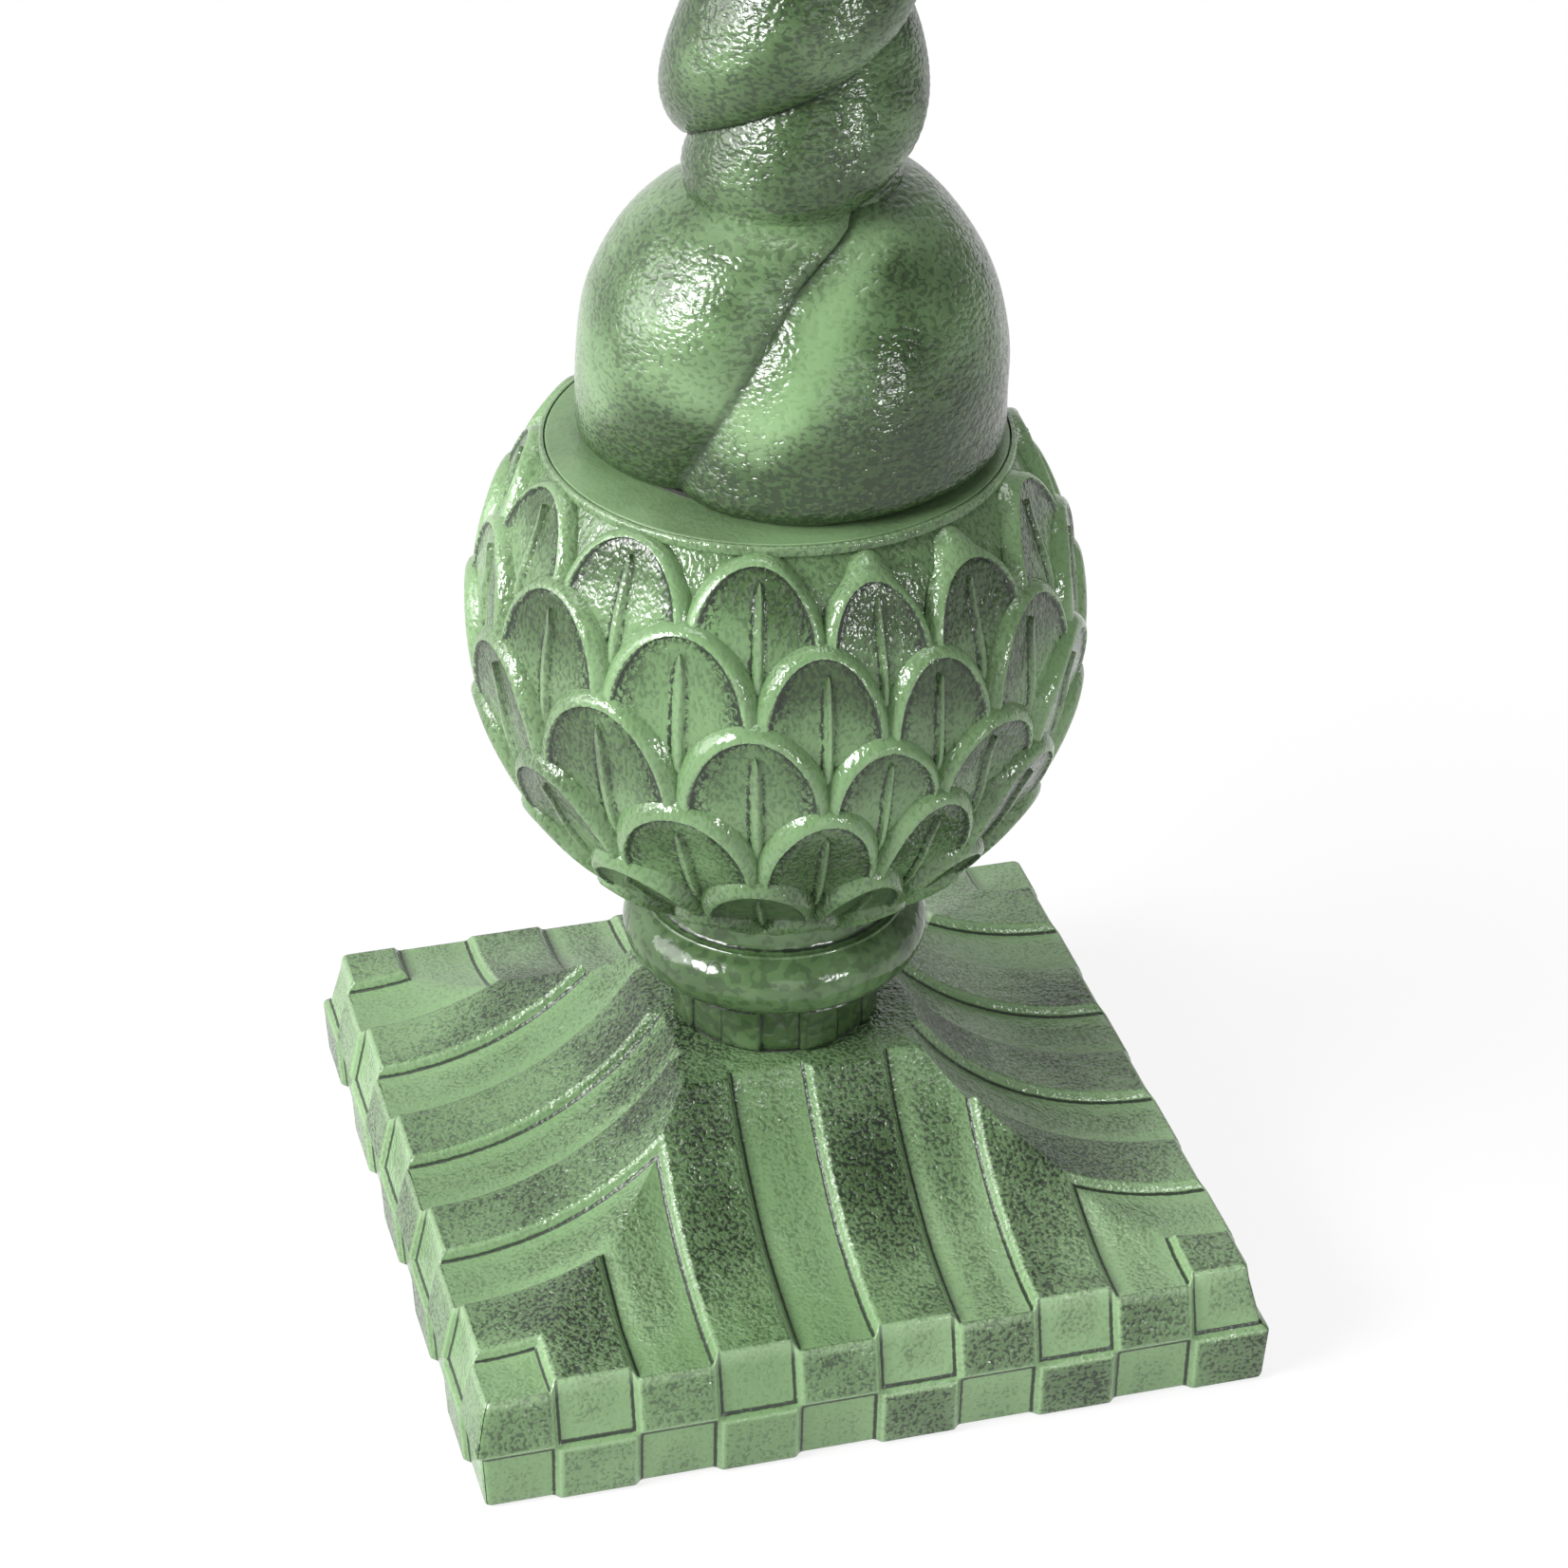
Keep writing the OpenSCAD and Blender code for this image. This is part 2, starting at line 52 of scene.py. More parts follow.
# %% [markdown]
# ## Camera
# A product photo taken from a little above, with a long lens, so upright lines stay almost parallel. The
# camera is set by its place, its compass angle, how far it looks down and a slight roll, which together fix
# its three axes.

# %% Camera
CAMERA_PLACE = Vector((-0.3831, -1.4015, 1.1090))
CAMERA_TURN, CAMERA_DOWN, CAMERA_ROLL = -0.2690, 0.5614, 0.0065
SENSOR_MM, LENS_MM = 36, 106.86
NEAREST, FARTHEST = 0.05, 50


def camera_axes():
    """The camera's right, up and backward directions."""
    right = Vector((math.cos(CAMERA_TURN), math.sin(CAMERA_TURN), 0))
    back = Vector((
        math.sin(CAMERA_TURN) * math.cos(CAMERA_DOWN),
        -math.cos(CAMERA_TURN) * math.cos(CAMERA_DOWN),
        math.sin(CAMERA_DOWN),
    ))
    up = back.cross(right)
    c, s = math.cos(CAMERA_ROLL), math.sin(CAMERA_ROLL)
    return right * c + up * s, up * c - right * s, back


lens = bpy.data.cameras.new("photo_lens")
lens.sensor_width, lens.lens = SENSOR_MM, LENS_MM
lens.clip_start, lens.clip_end = NEAREST, FARTHEST
camera = bpy.data.objects.new("photo_camera", lens)
bpy.context.collection.objects.link(camera)
camera.matrix_world = Matrix.Translation(CAMERA_PLACE) @ Matrix(camera_axes()).transposed().to_4x4()
bpy.context.scene.camera = camera
print("camera", round(CAMERA_PLACE.length, 3), "m from the foot")

# %% [markdown]
# ## Finishes
# The real object is lacquered mid green and then rubbed with a black-green wash, which stays in the hammered
# pits and the creases. It could be painted as an image, but noise needs no seams and is sharp at any
# distance. One node group makes the pits, flecks, film and torn creases, and each lacquer places it with its
# own values. First come a few helpers that keep the wiring short.

# %% Helpers for nodes


def wire(tree, kind, inputs=None, **settings):
    """One node with its settings, its plain inputs set and its other inputs linked."""
    node = tree.nodes.new(kind)
    for key, value in settings.items():
        setattr(node, key, value)
    for key, value in (inputs or {}).items():
        socket = node.inputs[key]
        if isinstance(value, bpy.types.NodeSocket):
            tree.links.new(value, socket)
        else:
            socket.default_value = value
    return node


def mapped(tree, value, low, high, to_low=0.0, to_high=1.0):
    """The value, eased so that low becomes to_low and high becomes to_high."""
    inputs = {0: value, 1: low, 2: high, 3: to_low, 4: to_high}
    return wire(tree, "ShaderNodeMapRange", inputs, interpolation_type="SMOOTHSTEP").outputs[0]


def maths(tree, operation, a, b=0.0, clamp=False):
    return wire(tree, "ShaderNodeMath", {0: a, 1: b}, operation=operation, use_clamp=clamp).outputs[0]


# %% Helpers for groups and colours


def new_group(name, inputs, outputs):
    group = bpy.data.node_groups.new(name, "ShaderNodeTree")
    for label, kind, value in inputs:
        socket = group.interface.new_socket(label, in_out="INPUT", socket_type=kind)
        if value is not None:
            socket.default_value = value
    for label, kind in outputs:
        group.interface.new_socket(label, in_out="OUTPUT", socket_type=kind)
    return group, group.nodes.new("NodeGroupInput"), group.nodes.new("NodeGroupOutput")


def blended(tree, factor, a, b):
    """Two colours, each plain or linked, mixed by a factor."""
    node = wire(tree, "ShaderNodeMix", data_type="RGBA")
    tree.links.new(factor, node.inputs["Factor"])
    for socket, colour in zip([s for s in node.inputs if s.type == "RGBA"], (a, b)):
        if isinstance(colour, bpy.types.NodeSocket):
            tree.links.new(colour, socket)
        else:
            socket.default_value = (*colour, 1)
    return [s for s in node.outputs if s.type == "RGBA"][0]


# %% Hammered wash: the group and its noises
FLOAT, COLOR, VECTOR = "NodeSocketFloat", "NodeSocketColor", "NodeSocketVector"
GROUP_INPUTS = [
    ("Place", VECTOR, None), ("Grain", FLOAT, 550.0), ("Pits", FLOAT, 0.5), ("Wash", FLOAT, 0.5),
    ("Crease", FLOAT, 0.0), ("Torn", FLOAT, 0.8), ("Worn", FLOAT, 0.0), ("Gloss", FLOAT, 0.3),
]
GROUP_OUTPUTS = [("Color", COLOR), ("Roughness", FLOAT), ("Height", FLOAT)]
hammered, given, result = new_group("hammered_wash", GROUP_INPUTS, GROUP_OUTPUTS)
place, grain, pits, wash_and_shade, crease, torn, worn, gloss = (given.outputs[label] for label, _, _ in GROUP_INPUTS)


def times(a, b, clamp=False):
    return maths(hammered, "MULTIPLY", a, b, clamp)


def eased(value, low, high, to_low=0.0, to_high=1.0):
    return mapped(hammered, value, low, high, to_low, to_high)


def noise_of(scale, detail, **more):
    inputs = {"Vector": place, "Scale": scale, "Detail": detail, **more}
    return wire(hammered, "ShaderNodeTexNoise", inputs).outputs[0]


dimples = noise_of(grain, 0.7, Roughness=0.5, Distortion=0.3)
ripple = noise_of(times(grain, 0.31), 1.0)
winding = noise_of(times(grain, 0.5), 2.0, Distortion=0.6)
cloud = noise_of(15.0, 3.0, Roughness=0.5)
tone = noise_of(7.0, 2.0)
print("noises wired,", len(hammered.nodes), "nodes so far")

# %% Hammered wash: flecks, film and torn creases
# Clouds of wash are thicker here and thinner there. It lies in the pits as flecks and over them as a film
# On some pieces the wash amount also holds painted shade and painted light
cover = times(wash_and_shade, eased(cloud, 0.32, 0.68, 0.6, 1.4))
pit = eased(maths(hammered, "SUBTRACT", dimples, times(cover, 0.05)), 0.43, 0.33)
fleck = times(times(pit, eased(cover, 0.2, 1.6, 0.15, 0.9)), times(pits, 2.1, clamp=True))
film = eased(cover, 0.15, 1.9, 0.0, 0.92)

# In a crease the wash has a torn edge, and fine cracks run beside it
tear = times(maths(hammered, "SUBTRACT", 0.5, dimples), torn)
line = times(eased(maths(hammered, "ADD", crease, tear), 0.4, 0.85), eased(crease, 0.0, 0.3))
off_middle = maths(hammered, "ABSOLUTE", maths(hammered, "SUBTRACT", winding, 0.5))
crack = times(eased(off_middle, 0.06, 0.015), eased(crease, 0.06, 0.5))
crack = times(crack, times(torn, 0.5, clamp=True))
DARKEST = 0.93
dark = maths(hammered, "MAXIMUM", fleck, maths(hammered, "MAXIMUM", line, crack))
dark = maths(hammered, "MINIMUM", dark, DARKEST)
print("wash wired,", len(hammered.nodes), "nodes so far")

# %% Hammered wash: colour, roughness and height
GREEN_DEEP, GREEN_PALE = (0.150, 0.256, 0.116), (0.212, 0.335, 0.168)
WASH_BLACK, WASH_FILM = (0.008, 0.013, 0.008), (0.026, 0.052, 0.016)
RUBBED = (0.32, 0.45, 0.27)
green = blended(hammered, eased(tone, 0.35, 0.65), GREEN_DEEP, GREEN_PALE)
washed = blended(hammered, dark, blended(hammered, film, green, WASH_FILM), WASH_BLACK)
hammered.links.new(blended(hammered, worn, washed, RUBBED), result.inputs["Color"])
# Thick wash is a little duller than lacquer, and its pits are deeper
hammered.links.new(maths(hammered, "ADD", gloss, times(dark, 0.16)), result.inputs["Roughness"])
swell = maths(hammered, "ADD", dimples, times(ripple, 1.2))
swell = times(swell, eased(cover, 0.0, 1.2, 0.4, 1.9))
hammered.links.new(times(swell, pits), result.inputs["Height"])
print("hammered_wash group", len(hammered.nodes), "nodes")

# %% [markdown]
# ## The lacquers
# Each lacquer is one Principled shader fed by the group. Most pieces carry masks, worked out from their own
# form: the wash-and-shade mask says how thick the wash lies and, on some pieces, where painted shade and
# painted light lie; the crease mask darkens hollows, in places with painted shade; and the worn mask lightens
# rubbed edges.

# %% Lacquer materials


def new_paint(name):
    paint = bpy.data.materials.new(name)
    paint.use_nodes = True
    return paint, paint.node_tree, paint.node_tree.nodes["Principled BSDF"]


def on_piece(tree, stretch):
    """The place on the piece itself, so that a pattern moves with it, stretched along the axes."""
    spot = wire(tree, "ShaderNodeTexCoord").outputs["Object"]
    return wire(tree, "ShaderNodeMapping", {"Vector": spot, "Scale": stretch}).outputs[0]


def lacquer(name, masks=(), stretch=(1, 1, 1), **values):
    """values are plain inputs of the group; masks are (input, mask on the piece, strength)."""
    paint, tree, shader = new_paint(name)
    inputs = {"Place": on_piece(tree, stretch), **values}
    for key, mask, strength in masks:
        value = wire(tree, "ShaderNodeAttribute", attribute_name=mask).outputs["Fac"]
        inputs[key] = maths(tree, "MULTIPLY", value, strength)
    finish = wire(tree, "ShaderNodeGroup", inputs, node_tree=hammered).outputs
    bump = wire(tree, "ShaderNodeBump", {"Strength": 1.0, "Distance": MM, "Height": finish["Height"]})
    tree.links.new(finish["Color"], shader.inputs["Base Color"])
    tree.links.new(finish["Roughness"], shader.inputs["Roughness"])
    tree.links.new(bump.outputs["Normal"], shader.inputs["Normal"])
    return paint


ALL_MASKS = (("Wash", "wash_and_shade", 1.0), ("Crease", "crease", 1.1), ("Worn", "worn", 0.3))
NOT_WORN = ALL_MASKS[:2]
base_lacquer = lacquer("base_lacquer", ALL_MASKS, Grain=680, Pits=0.5, Gloss=0.2, Torn=0.5)
leaf_lacquer = lacquer("leaf_lacquer", ALL_MASKS, (1, 1, 0.7), Grain=680, Pits=0.26, Gloss=0.12, Torn=1.7)
rope_lacquer = lacquer("rope_lacquer", NOT_WORN, (1, 1, 1.5), Grain=450, Pits=0.28, Gloss=0.14, Torn=0.2)
ring_lacquer = lacquer("ring_lacquer", NOT_WORN, Grain=260, Pits=0.2, Gloss=0.12)
satin_lacquer = lacquer("satin_lacquer", Grain=700, Pits=0.1, Wash=0.8, Gloss=0.34)
print("lacquers:", [name for name in bpy.data.materials.keys() if "lacquer" in name])

# %% [markdown]
# ## Helpers for modelling
# Every piece starts as a primitive. Two kinds do nearly all the work here: a sheet of squares, which is laid
# over a form or rolled into a tube, and a hoop of wire, which is bent to a section and spun round like work
# on a lathe. The sheet comes first, for the base.

# %% Helpers for every piece


def clear_selection():
    if bpy.context.object and bpy.context.object.mode != "OBJECT":
        bpy.ops.object.mode_set(mode="OBJECT")
    bpy.ops.object.select_all(action="DESELECT")


def make_active(piece):
    clear_selection()
    bpy.context.view_layer.objects.active = piece
    piece.select_set(True)


def edit_all(piece):
    make_active(piece)
    bpy.ops.object.mode_set(mode="EDIT")
    bpy.ops.mesh.select_all(action="SELECT")


def turn_faces_out():
    """In edit mode: all faces point outwards. Then back to object mode."""
    bpy.ops.mesh.select_all(action="SELECT")
    bpy.ops.mesh.normals_make_consistent(inside=False)
    bpy.ops.object.mode_set(mode="OBJECT")


def smooth(piece, angle):
    make_active(piece)
    bpy.ops.object.shade_smooth_by_angle(angle=math.radians(angle))


def report(piece):
    triangles = sum(len(p.vertices) - 2 for p in piece.data.polygons)
    print(piece.name, triangles, "triangles")


# %% A sheet of squares, and smooth numbers


def sheet_of_squares(name, columns, rows):
    """A grid whose corners are then placed one by one, and a map from (column, row) to the vertex number."""
    clear_selection()
    bpy.ops.mesh.primitive_grid_add(x_subdivisions=columns, y_subdivisions=rows, size=2)
    sheet = bpy.context.object
    sheet.name = name
    where = {}
    for v in sheet.data.vertices:
        where[round((v.co.x + 1) / 2 * columns), round((v.co.y + 1) / 2 * rows)] = v.index
    return sheet, where


def held(x):
    """x, held between 0 and 1."""
    return min(1.0, max(0.0, x))


def smooth_step(x):
    t = held(x)
    return t * t * (3 - 2 * t)


def near(x, at, reach):
    """1 at a place, falling smoothly to 0 at the reach on either side of it."""
    return smooth_step(1 - abs(x - at) / reach)


# %% [markdown]
# ## Base
# A square plinth: two rows of cells round its rim, and four hollow-curved slopes whose stripes meet in pairs
# at the hips. It could be extruded cell by cell, but the walls between cells are sloped and soft, as on a
# casting. So a sheet of squares, with its lines crowded where cells meet, is lifted to the curve plus a
# smooth step, and its edge is extruded down in rings to make the rim.

# %% Base: sizes in mm, and where the lines of the sheet lie
CELL, CELLS_OUT, RELIEF, WALL = 30.0, 5, 3.5, 1.7
RIM_MID, RIM_TOP, RIM_BOTTOM, PLATFORM = 25.3, 47.0, 1.0, 100.5
HALF_BOTTOM, HALF_MID, HALF_TOP = 145.1, 146.45, 141.5
COVE_OUT, COVE_UP, COVE_R = 142.5, 163.5, 116.5
EDGE_R, CORNER_R, FOOT_R = 1.7, 2.4, 1.3
# Lines beside a wall in mm; lines across a cell as shares of it; lines round the platform's edge in cells
BESIDE_WALL = (0.35, 1.05, 1.75, 2.6)
ACROSS_CELL = (0.18, 0.34, 0.5, 0.66, 0.82)
PLATFORM_EDGE = (1.45, 1.483, 1.518, 1.553, 1.588, 1.623, 1.655)
PLATFORM_FROM, PLATFORM_TO = 1.44, 1.67


def sheet_lines():
    """Places of the sheet's lines, in cells from the middle."""
    marks = []
    for wall in range(-CELLS_OUT, CELLS_OUT + 1):
        marks += [wall + side * off / CELL for off in BESIDE_WALL for side in (-1, 1)]
    for cell in range(-CELLS_OUT, CELLS_OUT):
        marks += [cell + share for share in ACROSS_CELL]
    marks = [m for m in marks if not PLATFORM_FROM < abs(m) < PLATFORM_TO]
    marks += [side * m for m in PLATFORM_EDGE for side in (-1, 1)]
    edge = float(CELLS_OUT)
    return [-edge] + sorted(m for m in marks if abs(m) < edge - 0.001) + [edge]


lines = sheet_lines()
print("base sheet has", len(lines), "lines each way")

# %% [markdown]
# A corner of the sheet is known by two numbers, cu and cv: how many cells it is from the middle along X and
# along Y. From these the next functions tell which stripe or cell it is in, how far it is from the wall
# beside it, and so how high or how far out it stands.

# %% Base: walls between stripes and cells
WAVER, WAVES = 0.012, 0.9


def waver(a, b, seed):
    """A hand-cut line is never quite straight: up to a third of a millimetre, in cells."""
    return WAVER * noise.noise(Vector((a * WAVES, b * WAVES, seed)))


def wall_distance(c):
    """Distance in mm from the nearest line between cells, above zero in the even cells."""
    q = c + CELLS_OUT
    n = min(2 * CELLS_OUT - 1, max(1, round(q)))
    inside = (q - n) * CELL
    return inside if n % 2 else -inside


def lift(distance):
    return smooth_step(0.5 + distance / (2 * WALL))


def roof_wall(cu, cv):
    """Signed distance to the stripe's edge: the stripes run up each slope and meet at the hips."""
    if abs(cv) >= abs(cu):
        d = wall_distance(cu + waver(cu, cv, 3.1))
        return d if cv < 0 else -d
    d = wall_distance(cv + waver(cv, cu, 7.7))
    return d if cu < 0 else -d


print("a wall rises", RELIEF, "mm over", 2 * WALL, "mm")

# %% Base: walls on the rim
# Corners are taken a hair inside the rim
HAIR_INSIDE = 0.9999


def rim_wall(cu, cv, z):
    """Signed distance to the edge of a cell on the rim, and its parts along the rim and upwards. The lower
    row follows the stripes of the roof, and the upper row is their opposite."""
    if abs(cv) >= abs(cu):
        across = roof_wall(cu * HAIR_INSIDE, cv)
    else:
        across = roof_wall(cu, cv * HAIR_INSIDE)
    up = z - RIM_MID
    sign = 1 if across > 0 else -1
    return min(abs(across), abs(up)) * sign * (1 if up < 0 else -1), across, up


def rim_lift(cu, cv, z):
    _, across, up = rim_wall(cu, cv, z)
    lower, upper = lift(across), 1 - lift(across)
    row = lift(up)
    return lower * (1 - row) + upper * row


print("rows of cells meet", RIM_MID, "mm up")

# %% Base: the slope
# It is eased where it meets the platform
EASE_OVER, EASE_BY = 1.2, 0.3


def cove(d, raised):
    """Height of the hollow curve at d mm from the middle; raised goes from 0 on a sunk stripe to 1."""
    r, k = COVE_R - RELIEF * raised, COVE_OUT - d
    if k <= 0:
        return COVE_UP - r
    z = COVE_UP if k >= r else COVE_UP - math.sqrt(r * r - k * k)
    ease = max(0.0, 1 - abs(z - PLATFORM) / EASE_OVER)
    return min(z, PLATFORM) - ease * ease * EASE_BY


print("slope rises from", round(cove(COVE_OUT, 0), 1), "to", PLATFORM, "mm")

# %% Base: places on the rim
# The cells of the rim stand out less than the stripes of the roof
RIM_SHARE = 0.72


def half_width(z):
    if z < RIM_MID:
        return HALF_BOTTOM + (HALF_MID - HALF_BOTTOM) * (z - RIM_BOTTOM) / (RIM_MID - RIM_BOTTOM)
    return HALF_MID + (HALF_TOP - HALF_MID) * min(1, (z - RIM_MID) / (RIM_TOP - RIM_MID))


def along(c, edge):
    """Place in mm of a line: the cells are even, apart from the outermost, which ends at the edge."""
    a, inner = abs(c), CELLS_OUT - 1
    reach = a * CELL if a <= inner else inner * CELL + (edge - inner * CELL) * (a - inner)
    return math.copysign(reach, c)


def round_corner(x, y, edge_x, edge_y):
    """Near a corner the square outline is squeezed to a quarter circle."""
    p, q = CORNER_R - (edge_x - abs(x)), CORNER_R - (edge_y - abs(y))
    if p <= 0 or q <= 0:
        return x, y
    pull = max(p, q) / math.hypot(p, q)
    return math.copysign(abs(x) - p * (1 - pull), x), math.copysign(abs(y) - q * (1 - pull), y)


def ring_place(cu, cv, z, inset):
    """A corner of the sheet at height z on the rim, inset mm inside it."""
    low, step = (1 - RIM_SHARE) * RELIEF, RIM_SHARE * RELIEF
    edge_x = half_width(z) + low + step * rim_lift(math.copysign(CELLS_OUT, cu), cv, z) - inset
    edge_y = half_width(z) + low + step * rim_lift(cu, math.copysign(CELLS_OUT, cv), z) - inset
    return round_corner(along(cu, edge_x), along(cv, edge_y), edge_x, edge_y)


print("rim corner at", [round(v, 1) for v in ring_place(CELLS_OUT, CELLS_OUT, RIM_MID, 0)], "mm")

# %% Base: lay the sheet over the roof
# FAR stands for no wall or edge nearby; OUTER_CELL is about the width of the outermost cells
FAR, OUTER_CELL = 9, 24
base, where = sheet_of_squares("base", len(lines) - 1, len(lines) - 1)
marks = {where[i, j]: (cu, cv) for i, cu in enumerate(lines) for j, cv in enumerate(lines)}
edit_all(base)
mesh = bmesh.from_edit_mesh(base.data)
layer = {key: mesh.verts.layers.float.new(key) for key in ("cu", "cv", "wash_and_shade", "crease", "worn")}
mesh.verts.ensure_lookup_table()


def cell_wash(wall):
    """Thick on the raised cells; thinner on the sunk ones, and thinnest beside their walls."""
    if wall > 0:
        return 0.3 + 0.6 * smooth_step((wall - 1) / 2)
    return 0.08 + 0.42 * smooth_step((-wall - 3) / 8)


def shade_marks(v, wall, rim):
    """Masks of a corner: wash, darker towards the top with painted shade added there; dark feet of walls,
    where wash and painted shade lie in the corner; and rubbed edges.
    """
    # Near the top of the slope, painted shade is added to the wash mask
    v[layer["wash_and_shade"]] = cell_wash(wall) + 0.12 + 0.55 * smooth_step((v.co.z / MM - 50) / 45)
    # The foot of each wall is darkened by wash and painted shade together
    v[layer["crease"]] = near(wall, -1.3, 1.3)
    v[layer["worn"]] = max(near(wall, 1.0, 0.9), near(rim, 0, 1.6))


for index, (cu, cv) in marks.items():
    v = mesh.verts[index]
    x, y = ring_place(cu, cv, RIM_TOP, EDGE_R)
    wall = roof_wall(cu, cv)
    z = cove(max(abs(x), abs(y)), lift(wall))
    v.co = (x * MM, y * MM, z * MM)
    v[layer["cu"]], v[layer["cv"]] = cu, cv
    on_platform = z > PLATFORM - 0.05
    shade_marks(v, -FAR if on_platform else wall, (CELLS_OUT - max(abs(cu), abs(cv))) * OUTER_CELL + EDGE_R)
bmesh.update_edit_mesh(base.data)
print(len(marks), "corners laid over the roof")

# %% Base: split the squares on the hips along the hip
HIP_FROM = 1.4
bpy.ops.mesh.select_all(action="DESELECT")
bpy.ops.mesh.select_mode(type="VERT")
for v in mesh.verts:
    cu, cv = abs(v[layer["cu"]]), abs(v[layer["cv"]])
    v.select = abs(cu - cv) < 1e-4 and cu > HIP_FROM
mesh.select_flush_mode()
bpy.ops.mesh.vert_connect()
mesh = bmesh.from_edit_mesh(base.data)
print("base roof", len(mesh.faces), "faces")

# %% [markdown]
# The rim grows out of the sheet's own edge. Each extrusion adds one ring of corners, which are placed at
# once: a rounded edge, the side with its two rows of cells, a rounded foot, and the pocket that the base
# plate closes.

# %% Base: extrude the rim down, ring by ring
# The rows on the side crowd where the two rows of cells meet
SIDE_ROWS = (
    43.5, 40, 36, 32, 29.3, 27.9, 27.05, 26.35, 25.65, 24.95, 24.25, 23.55, 22.7, 21.3, 18, 14, 10, 6, 3.2,
)
ROUND_STEPS = (30, 60, 90)
POCKET, CEILING = 134.5, 8.05
rings = [("edge", angle) for angle in ROUND_STEPS]
rings += [("side", z) for z in SIDE_ROWS]
rings += [("foot", angle) for angle in ROUND_STEPS]
rings += [("pocket", z) for z in (RIM_BOTTOM, CEILING)]


def rim_corner(kind, amount, cu, cv):
    """Place in mm of a corner on a ring; amount is an angle on a rounded ring, and a height elsewhere."""
    turn = math.radians(amount)
    if kind == "edge":
        x, y = ring_place(cu, cv, RIM_TOP, EDGE_R * (1 - math.sin(turn)))
        return x, y, RIM_TOP + RELIEF * lift(roof_wall(cu, cv)) - EDGE_R * (1 - math.cos(turn))
    if kind == "pocket":
        return along(cu, POCKET), along(cv, POCKET), amount
    z, inset = amount, 0
    if kind == "foot":
        z, inset = RIM_BOTTOM + FOOT_R * (1 - math.sin(turn)), FOOT_R * (1 - math.cos(turn))
    return *ring_place(cu, cv, z, inset), z


layer = {key: mesh.verts.layers.float[key] for key in layer}
bpy.ops.mesh.select_all(action="DESELECT")
for e in mesh.edges:
    e.select = e.is_boundary
mesh.select_flush_mode()
for kind, amount in rings:
    bpy.ops.mesh.extrude_region_move()
    mesh = bmesh.from_edit_mesh(base.data)
    for v in [v for v in mesh.verts if v.select]:
        cu, cv = v[layer["cu"]], v[layer["cv"]]
        x, y, z = rim_corner(kind, amount, cu, cv)
        v.co = (x * MM, y * MM, z * MM)
        wall, _, _ = rim_wall(cu, cv, z)
        shade_marks(v, -FAR if kind == "pocket" else wall, 0 if kind == "edge" else FAR)
bmesh.update_edit_mesh(base.data)
print(len(rings), "rings on the rim")

# %% Base: close the pocket and finish
bpy.ops.mesh.extrude_region_move()
bpy.ops.mesh.merge(type="CENTER")
turn_faces_out()
smooth(base, 50)
base.data.materials.append(base_lacquer)
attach(base, "pedestal")
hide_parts("base_casting")
report(base)

# %% [markdown]
# ## Neck
# A short drum with upright panels, a thick glossy ring and a throat. All of it is round, so it is spun from
# one section; the panels are then pushed out of the drum by a fixed step.

# %% A hoop spun to a turned piece, and masks


def close_seams(piece, gap):
    """Merges what lies on one point, and turns all faces outwards."""
    edit_all(piece)
    bpy.ops.mesh.remove_doubles(threshold=gap)
    bpy.ops.mesh.dissolve_degenerate(threshold=gap)
    turn_faces_out()


def turned(name, section, axis=(0, 0), steps=128):
    """A hoop bent to the section (r, z in mm) and spun round a vertical axis."""
    clear_selection()
    bpy.ops.mesh.primitive_circle_add(vertices=len(section), radius=0.1, fill_type="NOTHING")
    piece = bpy.context.object
    piece.name = name
    for v, (r, z) in zip(piece.data.vertices, section):
        v.co = ((r + axis[0]) * MM, axis[1] * MM, z * MM)
    edit_all(piece)
    centre = (axis[0] * MM, axis[1] * MM, 0)
    bpy.ops.mesh.spin(steps=steps, angle=math.tau, axis=(0, 0, 1), center=centre)
    bpy.ops.object.mode_set(mode="OBJECT")
    close_seams(piece, 2e-6)
    return piece


def arc(r_mid, z_mid, across, up, start, end, steps):
    """Points of a section along an ellipse, from one angle to another in degrees."""
    turns = [math.radians(start + k * (end - start) / steps) for k in range(steps + 1)]
    return [(r_mid + across * math.cos(turn), z_mid + up * math.sin(turn)) for turn in turns]


def set_mask(piece, name, values):
    """A number on every corner of a piece, for a finish to read."""
    piece.data.attributes.new(name, "FLOAT", "POINT").data.foreach_set("value", values)


def add_mask(piece, name, value):
    """A mask that is worked out from each corner's place."""
    set_mask(piece, name, [value(v.co) for v in piece.data.vertices])


# %% Neck: section and panels
NECK_LOW, DRUM_TOP, THROAT_LOW, NECK_TOP = 101.55, 126.6, 151.2, 159.35
BORE, DRUM_R, THROAT_R = 30.0, 38.0, 45.0
DRUM_ROWS = (0.8, 3, 6, 9, 12, 15, 18, 21, 23)
RING_OUT, RING_UP, RING_R, RING_FROM, RING_TO = 44.0, 138.5, 13.0, -112, 66
FILLET_WIDE, FILLET_TALL = 2.6, 3.0
PANEL_START, PANEL_PITCH, PANEL_RISE, PANEL_SLOPE = -90.4, 45.0, 1.5, 2.6


def neck_section():
    points = [(BORE, NECK_LOW), (DRUM_R - 0.8, NECK_LOW)]
    points += [(DRUM_R, NECK_LOW + rise) for rise in DRUM_ROWS]
    points += [(DRUM_R, DRUM_TOP - 1.2), (DRUM_R + 0.2, DRUM_TOP - 0.4)]
    points += arc(RING_OUT, RING_UP, RING_R, RING_R, RING_FROM, RING_TO, 30)
    points += [(49.2, THROAT_LOW - 0.3), (48.8, THROAT_LOW + 0.1), (48.2, THROAT_LOW)]
    points += arc(THROAT_R + FILLET_WIDE, THROAT_LOW + FILLET_TALL, FILLET_WIDE, FILLET_TALL, -90, -180, 8)
    return points + [(THROAT_R, 156.5), (THROAT_R, NECK_TOP), (BORE, NECK_TOP)]


